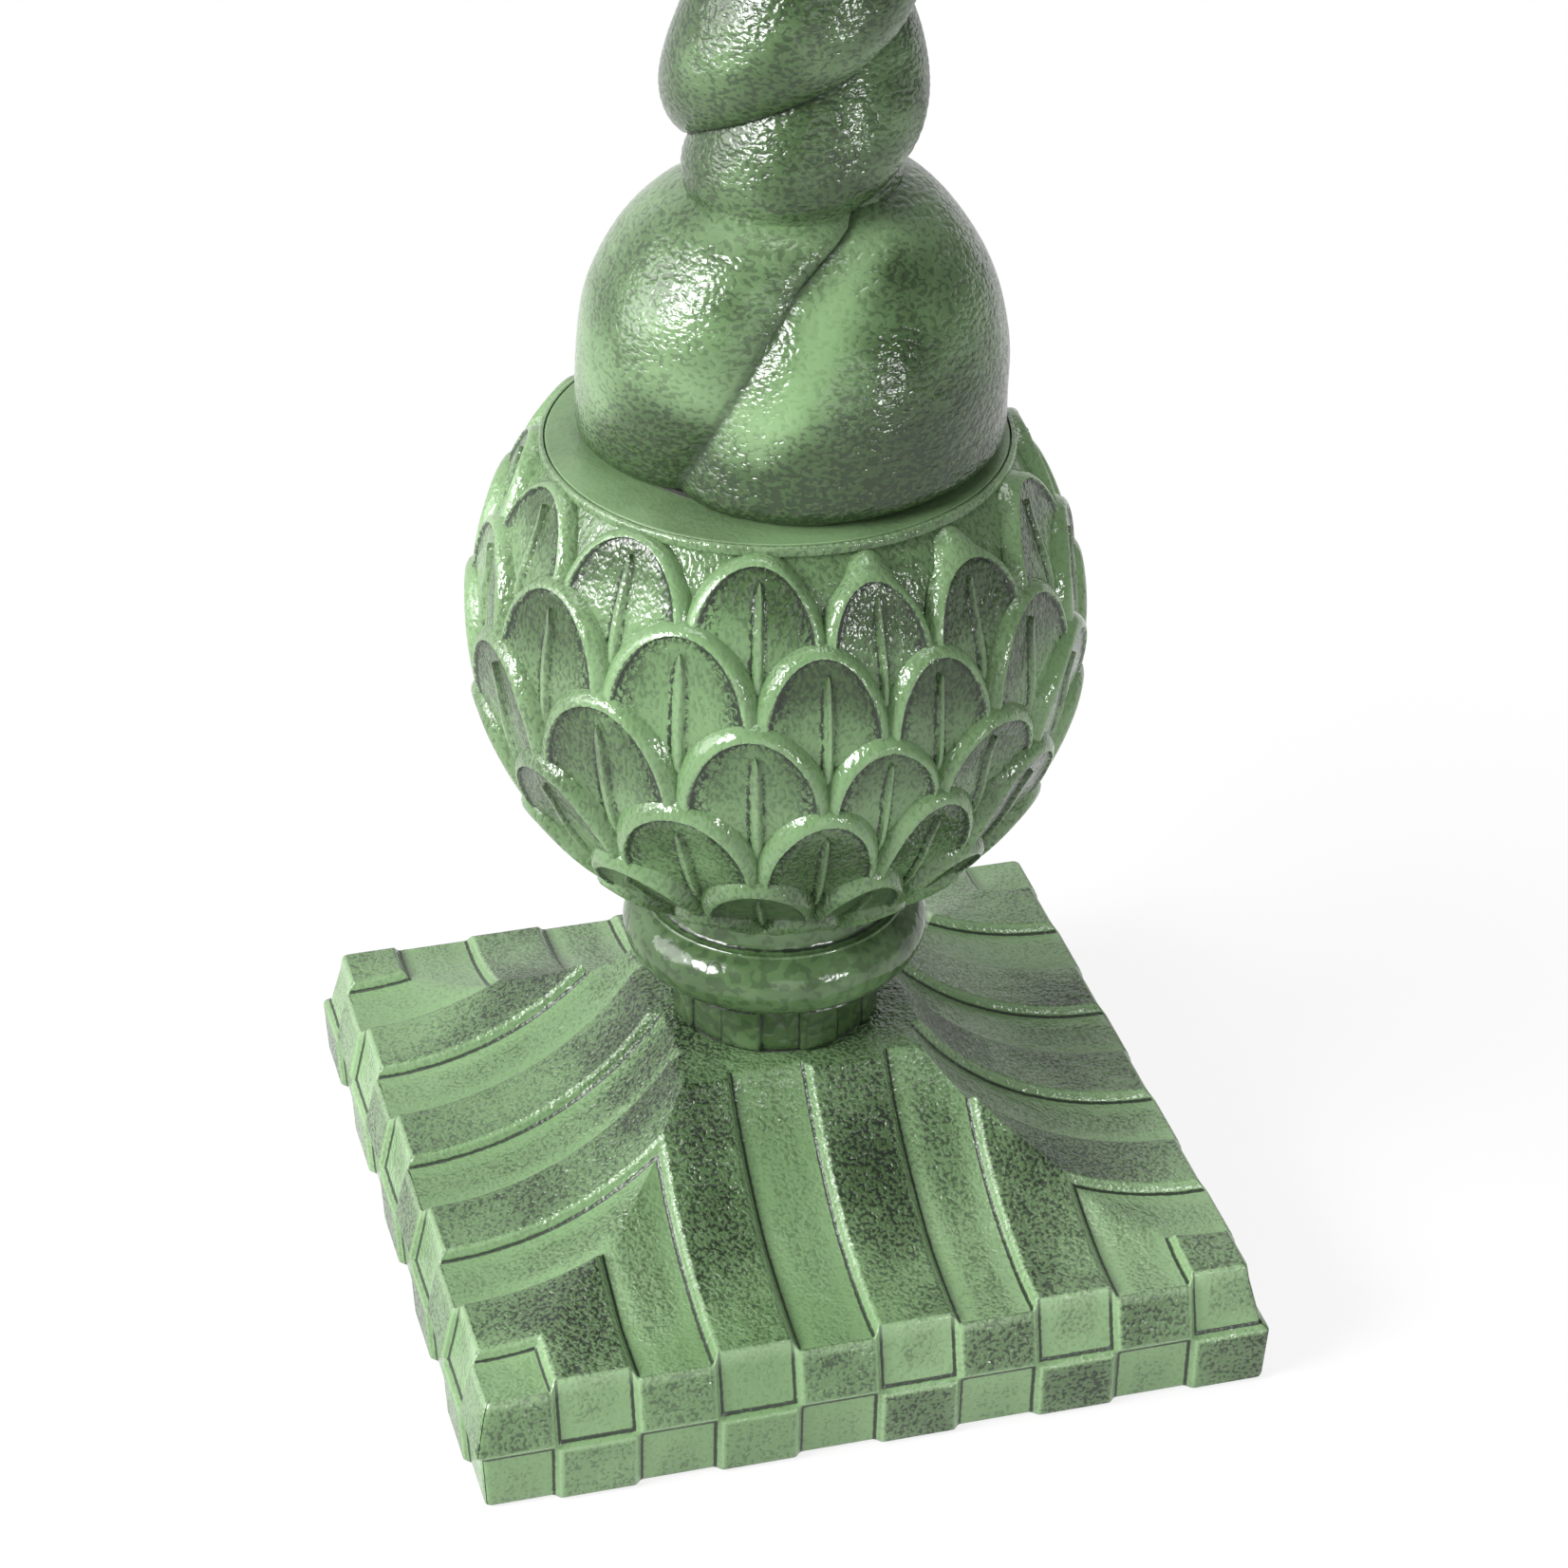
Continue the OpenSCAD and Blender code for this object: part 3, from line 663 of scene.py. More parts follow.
def panel_edge(x, y):
    """Degrees inside the nearest panel's edge, below zero between panels."""
    turn = (math.degrees(math.atan2(y, x)) - PANEL_START) % PANEL_PITCH
    half = PANEL_PITCH / 2
    return min(turn, half - turn) if turn < half else -min(turn - half, PANEL_PITCH - turn)


neck = turned("neck", neck_section(), steps=288)
for v in neck.data.vertices:
    r = math.hypot(v.co.x, v.co.y)
    if v.co.z < (DRUM_TOP + 0.2) * MM and r > (BORE + 5) * MM:
        push = PANEL_RISE * smooth_step(0.5 + panel_edge(v.co.x, v.co.y) / PANEL_SLOPE)
        v.co.x *= 1 + push * MM / r
        v.co.y *= 1 + push * MM / r
report(neck)

# %% Neck: masks and finish


def neck_crease(p):
    """Painted shade under the ring; dark over the ring, on the gasket, and beside the panels."""
    z = p.z / MM
    beside_panel = near(panel_edge(p.x, p.y), -0.9, 1.7) * 0.9 if z < DRUM_TOP else 0
    over_ring, on_gasket = near(z, THROAT_LOW + 0.8, 1.3) * 0.8, near(z, NECK_LOW, 2.2) * 0.8
    # The first term, at the drum's top under the ring, is painted shade
    return max(near(z, DRUM_TOP, 2.2), over_ring, on_gasket, beside_panel)


def neck_wash_and_shade(p):
    """Darkest on the drum and its panels, as wash with painted shade under the ring; darker towards the
    ring's underside as painted shade; least on top of the ring.
    """
    z = p.z / MM
    if z < DRUM_TOP:
        return 1.9 if panel_edge(p.x, p.y) > 0 else 2.3
    # On the ring, the rise below 134 mm is painted shade on its underside
    return 1.4 if z > THROAT_LOW + 0.3 else 1.25 + 0.7 * smooth_step((134 - z) / 8)


add_mask(neck, "crease", neck_crease)
add_mask(neck, "wash_and_shade", neck_wash_and_shade)
smooth(neck, 50)
neck.data.materials.append(ring_lacquer)
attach(neck, "pedestal")
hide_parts("neck_casting")
print("neck dressed with", ring_lacquer.name)

# %% [markdown]
# ## Artichoke
# A globe covered by six staggered rows of leaves. Each leaf is an arch with a rolled band round it, a folded
# face and a thin rib, and its foot goes under the next row. Sculpting would take long and differ from leaf
# to leaf, so one leaf is modelled flat, as nested arches, and its copies are bent onto the globe row by row.
# On the leaf, x is the share of its half width, t counts rows downwards from its tip, and share goes from 0
# at the outline to 1 at the rib.

# %% Artichoke: one flat leaf
LEAF_RISE, LEAF_FALL, LEAF_FOOT, LEAF_LONG, LEAF_WIDE = 6.0, 0.38, -0.8, 2.2, 1.08
BAND, STEP_IN, STEP_DOWN, FOLD, TUCK = 0.2, 0.235, 1.0, 2.4, 2.8
RIB_FROM, RIB_RISE, RIB_START = 0.91, 1.7, 0.3
ARCH_STEPS, ARCH_TALL, ARCH_SHRINK, TIP_DROP = 18, 1.15, 0.65, 0.2
STRAIGHT = 0.36
NESTED = [0.0, 0.06, 0.12, 0.17, BAND, STEP_IN, 0.29, 0.36, 0.47, 0.6, 0.73, 0.85]
NESTED += [RIB_FROM, 0.935, 0.965, 1.0]


def leaf_outline(share, u):
    """A corner (x, t) of a nested arch; u goes from -1, bottom left, over the tip to 1, bottom right."""
    tip = share if share <= BAND else BAND + TIP_DROP * (share - BAND) / (1 - BAND)
    arch = ARCH_TALL * (1 - ARCH_SHRINK * share)
    a = 1 - abs(u)
    if a < STRAIGHT:
        x, t = 1.0, LEAF_LONG - (LEAF_LONG - tip - arch) * a / STRAIGHT
    else:
        turn = (a - STRAIGHT) / (1 - STRAIGHT) * math.pi / 2
        x, t = math.cos(turn), tip + arch * (1 - math.sin(turn))
    return math.copysign(x * (1 - share), u), t


def leaf_height(share, x, t):
    """Height over the globe in mm: a band climbs to the front edge, then a small step and a face folded to
    its rib. The lower end is tucked under the next row."""
    edge = LEAF_RISE * (1 - LEAF_FALL * t) - TUCK * smooth_step((t - 1.65 + 0.5 * abs(x)) / 0.5)
    if share <= BAND:
        climb = share / BAND
        return LEAF_FOOT + (edge - LEAF_FOOT) * (2.1 * climb - 1.1 * climb * climb)
    inside = (share - BAND) / (1 - BAND)
    step = STEP_DOWN * smooth_step((share - BAND) / (STEP_IN - BAND))
    rib = RIB_RISE * smooth_step((share - RIB_FROM) / 0.06) * smooth_step((t - RIB_START) / 0.12)
    return edge - step - FOLD * inside * smooth_step((t - 0.15) * 1.6) + rib


leaf, leaf_at = sheet_of_squares("leaf", 2 * ARCH_STEPS, len(NESTED) - 1)
leaf_plan = {}
for i in range(2 * ARCH_STEPS + 1):
    for j, share in enumerate(NESTED):
        x, t = leaf_outline(share, i / ARCH_STEPS - 1)
        h = leaf_height(share, x, t)
        leaf.data.vertices[leaf_at[i, j]].co = (x, -t, h)
        leaf_plan[leaf_at[i, j]] = (x, t, h, share)
print("leaf", len(leaf.data.polygons), "squares")

# %% Artichoke: masks of a leaf


def leaf_wash_and_shade(t, share, row, lamp_side_scale):
    """Least on the band; the face adds most near its tip, and the last argument scales what it adds, as
    painted light on the faces towards the key lamp. Each lower row is darker by painted shade.
    """
    on_face = smooth_step((share - BAND) / 0.08) * (0.28 + 0.95 * smooth_step((1.3 - t) / 0.9))
    # 0.09 a row is painted shade on the lower rows
    return 0.62 + 0.09 * row + on_face * lamp_side_scale


def leaf_crease(x, t, share):
    """Dark inside the band, cracked along the face's edge, a line beside the rib, and a faint line of painted
    shade outside, where the band's foot meets the leaf below.
    """
    inside = share - BAND
    near_edge = 0.42 * near(inside, 0, 0.6) if inside > 0.03 else 0
    beside_rib = near(share, 0.915, 0.03) * (0.9 if x < 0 else 0.5) * smooth_step((t - RIB_START) / 0.3)
    # The last term, along the outline, is painted shade
    return max(near(inside, 0.05, 0.085), near_edge, beside_rib, near(share, 0, 0.07) * 0.3)


def leaf_worn(share):
    """Rubbed bright on the rib and on the band's crest."""
    return max(near(share, 1, 0.06) * 0.8, near(share - BAND, -0.01, 0.03) * 0.6)


print("wash on a face, near its tip and lower:", [round(leaf_wash_and_shade(t, 0.5, 0, 1), 2) for t in (0.4, 1.3)])

# %% [markdown]
# On the real globe the rows are not quite even: at one seam they are squeezed together and sag. The copies
# could be placed by hand, but then each row would have to be matched to the next. So every corner has its
# two angles in an even pattern first, and one function moves all of them alike.

# %% Artichoke: from the even pattern to the globe
GLOBE_UP, CORE_R, CORE_TALL = 266.0, 107.5, 1.04
# Height angles of the tips of the leaves' faces, row by row from the top, and the end of the last row
ROW_TIPS = [38.8, 24.9, 8.7, -9.7, -28.3, -45.0, -61.0]
LOWEST = -62.0
TOP_TIP = ROW_TIPS[0] + BAND * (ROW_TIPS[0] - ROW_TIPS[1])
LEAVES_IN_ROW, LEAF_TURN = 13, -113.5
LEAF_PITCH = 360 / LEAVES_IN_ROW
SEAM, SQUEEZE, SQUEEZE_OVER = -79.0, 0.24, 46.0
SAG, SAG_AT, SAG_OVER = 6.4, -69.0, 30.0


def hand_laid(turn, up):
    """Where a place in the even pattern really lies: the rows are squeezed together and sag at one seam."""
    off = (turn - SEAM + 180) % 360 - 180
    turn -= SQUEEZE * off * math.exp(-(off / SQUEEZE_OVER) ** 2)
    off = (turn - SAG_AT + 180) % 360 - 180
    share = held((up + 8) / 16) * held((TOP_TIP - up) / 2.5)
    return turn, up - SAG * math.exp(-(off / SAG_OVER) ** 2) * share


def on_globe(turn, up, height):
    """A place over the globe: compass turn and height angle in degrees, height in mm."""
    turn, up = (math.radians(angle) for angle in hand_laid(turn, up))
    tall = CORE_R * CORE_TALL
    normal = Vector((math.cos(up) / CORE_R, 0, math.sin(up) / tall)).normalized()
    r = CORE_R * math.cos(up) + normal.x * height
    z = GLOBE_UP + tall * math.sin(up) + normal.z * height
    return Vector((r * math.cos(turn), r * math.sin(turn), z)) * MM


print("top row ends", round(on_globe(0, TOP_TIP, 0).z / MM, 1), "mm up")

# %% Artichoke: bend copies of the leaf onto the globe
# The compass angle of the side towards the key lamp, where painted light lessens the wash on the
# faces, how much it lessens it there, and how far each leaf is uneven, in mm
KEY_LAMP_SIDE, KEY_LAMP_LIGHTENING, WOBBLE = -175.0, 0.5, 0.4


def bent_leaf(row, k):
    """One copy of the flat leaf, in its place on the globe and with its own masks."""
    tip, step = ROW_TIPS[row], ROW_TIPS[row] - ROW_TIPS[row + 1]
    turn = LEAF_TURN + LEAF_PITCH * (k + 0.5 * (row % 2))
    # Painted light: faces towards the key lamp get less wash, so they read lighter
    lamp_side_scale = 1 - KEY_LAMP_LIGHTENING * max(0, math.cos(math.radians(turn - KEY_LAMP_SIDE))) ** 2
    copy = bpy.data.objects.new(f"leaf_{row}_{k}", leaf.data.copy())
    bpy.context.collection.objects.link(copy)
    plan = [leaf_plan[v.index] for v in copy.data.vertices]
    for v, (x, t, h, _) in zip(copy.data.vertices, plan):
        up = max(LOWEST, tip + (BAND - t) * step)
        wobble = WOBBLE * noise.noise(Vector((x * 1.7 + k, t * 1.7, row * 3.3)))
        v.co = on_globe(turn + x * LEAF_WIDE * LEAF_PITCH / 2, up, h + wobble)
    set_mask(copy, "crease", [leaf_crease(x, t, share) for x, t, _, share in plan])
    set_mask(copy, "worn", [leaf_worn(share) for _, _, _, share in plan])
    set_mask(copy, "wash_and_shade", [leaf_wash_and_shade(t, share, row, lamp_side_scale) for _, t, _, share in plan])
    return copy


copies = [bent_leaf(row, k) for row in range(len(ROW_TIPS) - 1) for k in range(LEAVES_IN_ROW)]
bpy.data.objects.remove(leaf)
print(len(copies), "leaves on the globe")

# %% [markdown]
# The globe under the leaves is turned too, with its collar below, a plain band above and a recess for the
# seat disc. The leaves and the globe are joined into one piece, because the real thing is one casting.

# %% Artichoke: the globe under the leaves
SEAT, DISC_R, DISC_T, LIP_R = 342.0, 82.0, 8.0, 84.3
COLLAR_R, COLLAR_LOW, COLLAR_TOP = 49.5, 160.25, 163.6
GLOBE_FROM, GLOBE_TO, GLOBE_STEPS = -63, 40.5, 56
# Under the leaves the globe lies deeper, between these height angles in radians
SUNK, SUNK_FROM, SUNK_TO = 1.5, -1.09, 0.6


def globe_section():
    points = [(0, COLLAR_LOW), (42.6, COLLAR_LOW), (COLLAR_R - 1.5, COLLAR_LOW + 0.4)]
    points += [(COLLAR_R, COLLAR_LOW + 2), (COLLAR_R, COLLAR_TOP), (COLLAR_R - 1.6, COLLAR_TOP + 2)]
    for k in range(GLOBE_STEPS + 1):
        up = math.radians(GLOBE_FROM + k * (GLOBE_TO - GLOBE_FROM) / GLOBE_STEPS)
        r = CORE_R - SUNK * smooth_step((SUNK_TO - up) / 0.1) * smooth_step((up - SUNK_FROM) / 0.1)
        points.append((r * math.cos(up), GLOBE_UP + r * CORE_TALL * math.sin(up)))
    points += [(LIP_R, SEAT - 3.4), (LIP_R + 0.2, SEAT - 1.4), (LIP_R - 0.4, SEAT - 0.3), (LIP_R - 1.0, SEAT)]
    recess, floor_up = DISC_R + 0.25, SEAT - DISC_T - 0.2
    return points + [(DISC_R + 0.5, SEAT - 0.1), (recess, SEAT - 1), (recess, floor_up), (0, floor_up)]


globe = turned("artichoke", globe_section(), steps=144)
# Painted shade in a band just over the collar, under the lowest leaves
add_mask(globe, "crease", lambda p: near(p.z / MM, COLLAR_TOP + 2.4, 2.5))
add_mask(globe, "worn", lambda p: near(p.z / MM, SEAT - 0.5, 1.0) * 0.6)
add_mask(globe, "wash_and_shade", lambda p: 0.9)
report(globe)

# %% Artichoke: join and finish
make_active(globe)
for copy in copies:
    copy.select_set(True)
bpy.ops.object.join()
artichoke = bpy.context.object
smooth(artichoke, 55)
artichoke.data.materials.append(leaf_lacquer)
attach(artichoke, "pedestal")
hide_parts("artichoke_casting")
report(artichoke)

# %% [markdown]
# ## Seat disc
# A smooth satin disc closes the artichoke, and the column turns on it. It is spun from a rectangle with
# eased corners, and has the hole for the tie rod.

# %% Seat disc
DISC_HOLE, FILLET_STEPS, FILLET_MOST = 6.5, 5, 0.49


def rounded(corners):
    """A closed section in mm from corners (r, z, fillet): each corner becomes a short arc, and takes up less
    than half of the sides beside it."""
    out = []
    for i, (r, z, fillet) in enumerate(corners):
        here = Vector((r, z))
        before = Vector(corners[i - 1][:2]) - here
        after = Vector(corners[(i + 1) % len(corners)][:2]) - here
        reach = fillet / math.tan(before.angle(after) / 2)
        reach = min(reach, FILLET_MOST * before.length, FILLET_MOST * after.length)
        start, end = here + before.normalized() * reach, here + after.normalized() * reach
        for k in range(FILLET_STEPS + 1):
            t = k / FILLET_STEPS
            out.append(start.lerp(here, t).lerp(here.lerp(end, t), t))
    return out


disc = turned("seat", rounded([
    (DISC_HOLE, SEAT - DISC_T, 0.3), (DISC_R, SEAT - DISC_T, 0.3),
    (DISC_R, SEAT, 0.9), (DISC_HOLE, SEAT, 0.5),
]), steps=160)
smooth(disc, 40)
disc.data.materials.append(satin_lacquer)
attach(disc, "pedestal")
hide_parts("seat_disc")
report(disc)

# %% [markdown]
# ## Column
# A bulb whose two fat strands wind up into a rope. Twisting a bar would wind it evenly, but this one winds
# slowly round the bulb and fast above it. So a sheet of squares is rolled into a tube, and each ring of it
# takes its radius and its turn from t, its height in mm over the column's foot. Across a strand, s goes from
# 0 to 1.

# %% Column: radius and turn at each height
FOOT, COLUMN_TOP = 343.5, 1060.0
AXIS = (4.8, -1.3)
ROPE_LONG = COLUMN_TOP - FOOT
BULB_R, BULB_FROM, BULB_DROP, WAIST, SWELL = 76.0, 28.0, 83.0, 96.0, 34.0
HEEL, HEEL_TALL = 4, 6
ROPE_R, ROPE_TOP_R, TAPER_FROM, TAPER_CURVE = 46.2, 24.0, 150.0, 0.9
WAIST_R = BULB_R * math.sqrt(1 - ((WAIST - BULB_FROM) / BULB_DROP) ** 2)
# Degrees at the foot, degrees a mm round the bulb and added above it, where that starts and over how far
TURN_START, TURN_BULB, TURN_ROPE, TURN_FROM, TURN_OVER = -144, 0.5, 2.9, 66, 42
TURN_FASTER = 0.0006


def gathered(x):
    """A speed that eases in from 0 to 1 while x goes from 0 to 1: the way covered by then."""
    if x < 0:
        return 0
    return x ** 3 - x ** 4 / 2 if x < 1 else x - 0.5


def strand_turn(t):
    wound = TURN_START + TURN_BULB * t + TURN_ROPE * TURN_OVER * gathered((t - TURN_FROM) / TURN_OVER)
    return wound + TURN_FASTER * max(0, t - TAPER_FROM) ** 2


def crest(t):
    """Radius over the strands: a drawn-in heel, the bulb, the swelling roll on it, and the tapering rope."""
    if t < BULB_FROM:
        return BULB_R - HEEL * max(0, 1 - t / HEEL_TALL) ** 2
    if t < WAIST:
        return BULB_R * math.sqrt(1 - ((t - BULB_FROM) / BULB_DROP) ** 2)
    if t < WAIST + SWELL:
        return WAIST_R + (ROPE_R - WAIST_R) * math.sin(math.pi / 2 * (t - WAIST) / SWELL)
    taper = (max(0, t - TAPER_FROM) / (ROPE_LONG - TAPER_FROM)) ** TAPER_CURVE
    return ROPE_R + (ROPE_TOP_R - ROPE_R) * taper


print("column turns", round(strand_turn(ROPE_LONG) - strand_turn(0)), "degrees in all")

# %% Column: grooves, fold and dents
GROOVE_BULB, GROOVE_ROPE, ROPE_FROM, ROPE_OVER = 0.157, 0.2, 60, 40
FOLD_IN, FOLD_ABOVE, FOLD_BELOW = 3.2, 14, 6
DENT, DENT_WAVES, DENT_TALL = 0.6, 3.2, 22


def rope_share(t):
    """0 round the bulb and 1 up the rope."""
    return held((t - ROPE_FROM) / ROPE_OVER)


def strand_rise(t, s):
    """Section of a strand: gentle above and steep below on the rope, an even roll on the bulb."""
    rope_side = max(0, math.sin(math.pi * s ** 1.5)) ** 0.6
    bulb_side = 1 - max(0, 1 - min(s, 1 - s) / 0.28) ** 2
    return rope_side + (bulb_side - rope_side) * (1 - rope_share(t))


def waist_fold(t):
    """How far in the surface folds where the lowest roll rests on the bulb."""
    return FOLD_IN * max(0, 1 - abs(t - WAIST) / (FOLD_ABOVE if t > WAIST else FOLD_BELOW)) ** 2


def strand_radius(t, s, turn):
    groove = GROOVE_BULB + (GROOVE_ROPE - GROOVE_BULB) * rope_share(t)
    dent = noise.noise(Vector((math.cos(turn) * DENT_WAVES, math.sin(turn) * DENT_WAVES, t / DENT_TALL)))
    return crest(t) * (1 - groove * (1 - strand_rise(t, s))) - waist_fold(t) + DENT * (dent - 0.5)


def column_wash_and_shade(t, s, turn):
    """The wash, with painted shade and light: thickest low on the front of the bulb, where wash and painted
    shade lie together, then on its right and up the rope, and less on its left. Painted shade darkens the
    roll's underside, and a painted highlight lessens it on a strand's shoulder beside the groove."""
    front, right = (smooth_step(0.5 + 0.5 * math.cos(turn - math.radians(way))) for way in (-75, -15))
    # Low on the front: wash with painted shade
    low = 1.5 * smooth_step((50 - t) / 45) * front
    # Painted shade under the roll
    under_roll = 0.6 * max(0, 1 - (t - WAIST) / 28) * front if t > WAIST else 0
    beside = 0.55 * smooth_step((105 - t) / 20) * right
    # A painted highlight: less wash on the shoulder beside the groove
    shoulder = near(s, 0.09, 0.1) * smooth_step((100 - t) / 20) * smooth_step((t - 15) / 20)
    return 1.05 + low + beside + 0.66 * smooth_step((t - 90) / 20) + under_roll - 0.95 * shoulder


print("waist", round(crest(WAIST) - waist_fold(WAIST), 1), "mm in radius")

# %% [markdown]
# Now the sheet is rolled up: its columns go round the two strands, and its rows go up, about 3 mm apart.
# The first five rows make the underside, with a well and the socket for the spigot.

# %% Column: roll the sheet
AROUND, CROWD = 112, 0.07
HEEL_ROWS = [0.0, 2.0, 4.0]
BULB_ROWS = [HEEL_TALL + 3.0 * i for i in range(41)]
ROPE_ROWS = 230
heights = HEEL_ROWS + BULB_ROWS
heights += [heights[-1] + (ROPE_LONG - heights[-1]) * i / ROPE_ROWS for i in range(1, ROPE_ROWS + 1)]
# The underside from the top of the socket outwards: radius, height and axis of each ring
SOCKET_R, SOCKET_TOP, WELL_R, WELL_UP = 16.2, 466.4, 52.2, 5.1
UNDERSIDE = [
    (SOCKET_R, SOCKET_TOP, (0, 0)), (SOCKET_R, FOOT + WELL_UP, (0, 0)), (WELL_R, FOOT + WELL_UP, AXIS),
    (WELL_R, FOOT + 0.4, AXIS), (WELL_R + 0.8, FOOT, AXIS),
]
rows = [(0, ring) for ring in UNDERSIDE] + [(t, None) for t in heights]
column, column_at = sheet_of_squares("column", AROUND, len(rows) - 1)
wash_and_shade_of, crease_of = {}, {}
for i in range(AROUND + 1):
    # Corners crowd towards the grooves, which lie at the ends of each strand
    strand, s = divmod((i % AROUND) / (AROUND / 2), 1)
    s -= CROWD * math.sin(2 * math.pi * s)
    for j, (t, ring) in enumerate(rows):
        turn = math.radians(strand_turn(t) + (strand + s) * 180)
        r, z, axis = ring or (strand_radius(t, s, turn), FOOT + t, AXIS)
        x, y = axis[0] + r * math.cos(turn), axis[1] + r * math.sin(turn)
        index = column_at[i, j]
        column.data.vertices[index].co = (x * MM, y * MM, z * MM)
        # The wash mask here also carries painted shade and a painted highlight
        wash_and_shade_of[index] = 1.0 if ring else column_wash_and_shade(t, s, turn)
        crease_of[index] = 0.62 * near(0 if ring else strand_rise(t, s), 0, 0.3)
for key, of_vertex in (("wash_and_shade", wash_and_shade_of), ("crease", crease_of)):
    set_mask(column, key, [of_vertex[v.index] for v in column.data.vertices])
report(column)

# %% Column: close the tube and finish
edit_all(column)
bpy.ops.mesh.remove_doubles(threshold=1e-6)
bpy.ops.mesh.select_all(action="DESELECT")
bpy.ops.mesh.select_non_manifold()
bpy.ops.mesh.edge_face_add()
turn_faces_out()
smooth(column, 60)
column.data.materials.append(rope_lacquer)
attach(column, "column")
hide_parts("column_casting")
report(column)

# %% [markdown]
# ## Finial
# The photo cuts the column off, so the top is a plain traditional one: a collar, and a ball drawn out to a
# point. Both are turned on the column's own axis.

# %% Finial collar and finial
COLLAR_H, COLLAR_FLAT, COLLAR_ROLL, STUD_R = 16.0, 21.5, 8, 5.1
FINIAL_LOW, BALL_UP, BALL_R, TIP, TIP_R = 1076.0, 1112.0, 26.0, 1164.0, 4
FINIAL_FOOT = [(14.5, 0), (15.4, 0.8), (15.2, 2.2), (13.2, 4), (12.6, 7), (12.8, 11)]
SPIRE_UP, SPIRE_R, SPIRE_IN, SPIRE_CURVE, SPIRE_STEPS = 24.6, 10.2, 6.3, 0.75, 8


def collar_section():
    low, high, middle = COLUMN_TOP, COLUMN_TOP + COLLAR_H, COLUMN_TOP + COLLAR_H / 2
    roll = arc(ROPE_TOP_R - 1, middle, COLLAR_ROLL, COLLAR_ROLL - 0.05, -100, 100, 24)
    return [(STUD_R, low), (COLLAR_FLAT, low)] + roll + [(COLLAR_FLAT, high), (STUD_R, high)]


def finial_section():
    points = [(0, FINIAL_LOW)] + [(r, FINIAL_LOW + rise) for r, rise in FINIAL_FOOT]
    points += arc(0, BALL_UP, BALL_R, BALL_R, -59, 64, 30)
    spire_low, spire_tall = BALL_UP + SPIRE_UP, TIP - TIP_R - BALL_UP - SPIRE_UP
    for share in (k / SPIRE_STEPS for k in range(SPIRE_STEPS + 1)):
        points.append((SPIRE_R - SPIRE_IN * share ** SPIRE_CURVE, spire_low + spire_tall * share))
    return points + arc(0, TIP - TIP_R, TIP_R, TIP_R, 0, 90, 8)[1:]


def top_crease(p):
    """Dark where the collar and the finial stand on what is below them."""
    return 0.8 * max(near(p.z / MM, FINIAL_LOW, 2.5), near(p.z / MM, COLUMN_TOP, 2.0))


for name, section, node in (
    ("top_collar", collar_section(), "finial_collar"),
    ("top_finial", finial_section(), "finial"),
):
    piece = turned(name, section, axis=AXIS, steps=112)
    smooth(piece, 45)
    add_mask(piece, "crease", top_crease)
    add_mask(piece, "wash_and_shade", lambda p: 0.4)
    piece.data.materials.append(ring_lacquer)
    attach(piece, "column")
    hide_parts(node)
    report(piece)

# %% [markdown]
# ## Hidden fittings
# Plate, screws, rod, nuts, washers, sleeve, tube, gaskets and pads keep their CAD shape and get plain
# workshop materials: brushed zinc-plated steel, black rubber with a fine matte grain, and milky nylon.

# %% Fittings
GRAIN_SPAN = (0.3, 0.7)


def plain_finish(name, colours, roughness, scale, bump_mm, metallic=0.0, stretch=(1, 1, 1)):
    """A finish whose colour and roughness go from a low to a high value with one fine grain."""
    finish, tree, shader = new_paint(name)
    shader.inputs["Metallic"].default_value = metallic
    inputs = {"Vector": on_piece(tree, stretch), "Scale": scale, "Detail": 4.0}
    grain = wire(tree, "ShaderNodeTexNoise", inputs).outputs[0]
    ramp = wire(tree, "ShaderNodeValToRGB", {"Fac": grain})
    for stop, position, colour in zip(ramp.color_ramp.elements, GRAIN_SPAN, colours):
        stop.position, stop.color = position, (*colour, 1)
    bump = wire(tree, "ShaderNodeBump", {"Strength": 0.6, "Distance": bump_mm * MM, "Height": grain})
    tree.links.new(ramp.outputs[0], shader.inputs["Base Color"])
    tree.links.new(mapped(tree, grain, *GRAIN_SPAN, *roughness), shader.inputs["Roughness"])
    tree.links.new(bump.outputs[0], shader.inputs["Normal"])
    return finish


BY_SLOT = {
    "bare_steel": plain_finish(
        "zinc_steel", [(0.30, 0.30, 0.29), (0.46, 0.46, 0.44)], (0.28, 0.5), scale=220, bump_mm=0.05,
        metallic=1.0, stretch=(1, 1, 6)),
    "black_rubber": plain_finish(
        "black_rubber", [(0.012, 0.012, 0.012), (0.035, 0.035, 0.034)], (0.7, 0.9), scale=900, bump_mm=0.08),
    "nylon": plain_finish(
        "milky_nylon", [(0.36, 0.34, 0.28), (0.44, 0.42, 0.36)], (0.35, 0.5), scale=300, bump_mm=0.03),
}
dressed = []
for row in frame["record"]["subparts"]:
    node = frame["nodes"].get(row["node"])
    if node and row["material_slot"] in BY_SLOT:
        node.data.materials.clear()
        node.data.materials.append(BY_SLOT[row["material_slot"]])
        for polygon in node.data.polygons:
            polygon.material_index = 0
        dressed.append(row["node"])
print(len(dressed), "fittings dressed")

# %% [markdown]
# ## Floor and light
# A white sweep: the floor and the world look white to the camera and in reflections, and the lamps stay at a
# plain level, so a colour renders about as written. The room is dark in front of the object, so that its
# front shows its own colour. A large soft lamp stands on the left, with a smaller and stronger one beside
# it for highlights; the others, above and in front, only fill.

# %% Floor
FLOOR_SIZE, PAPER = 12, (0.9, 0.9, 0.9, 1)
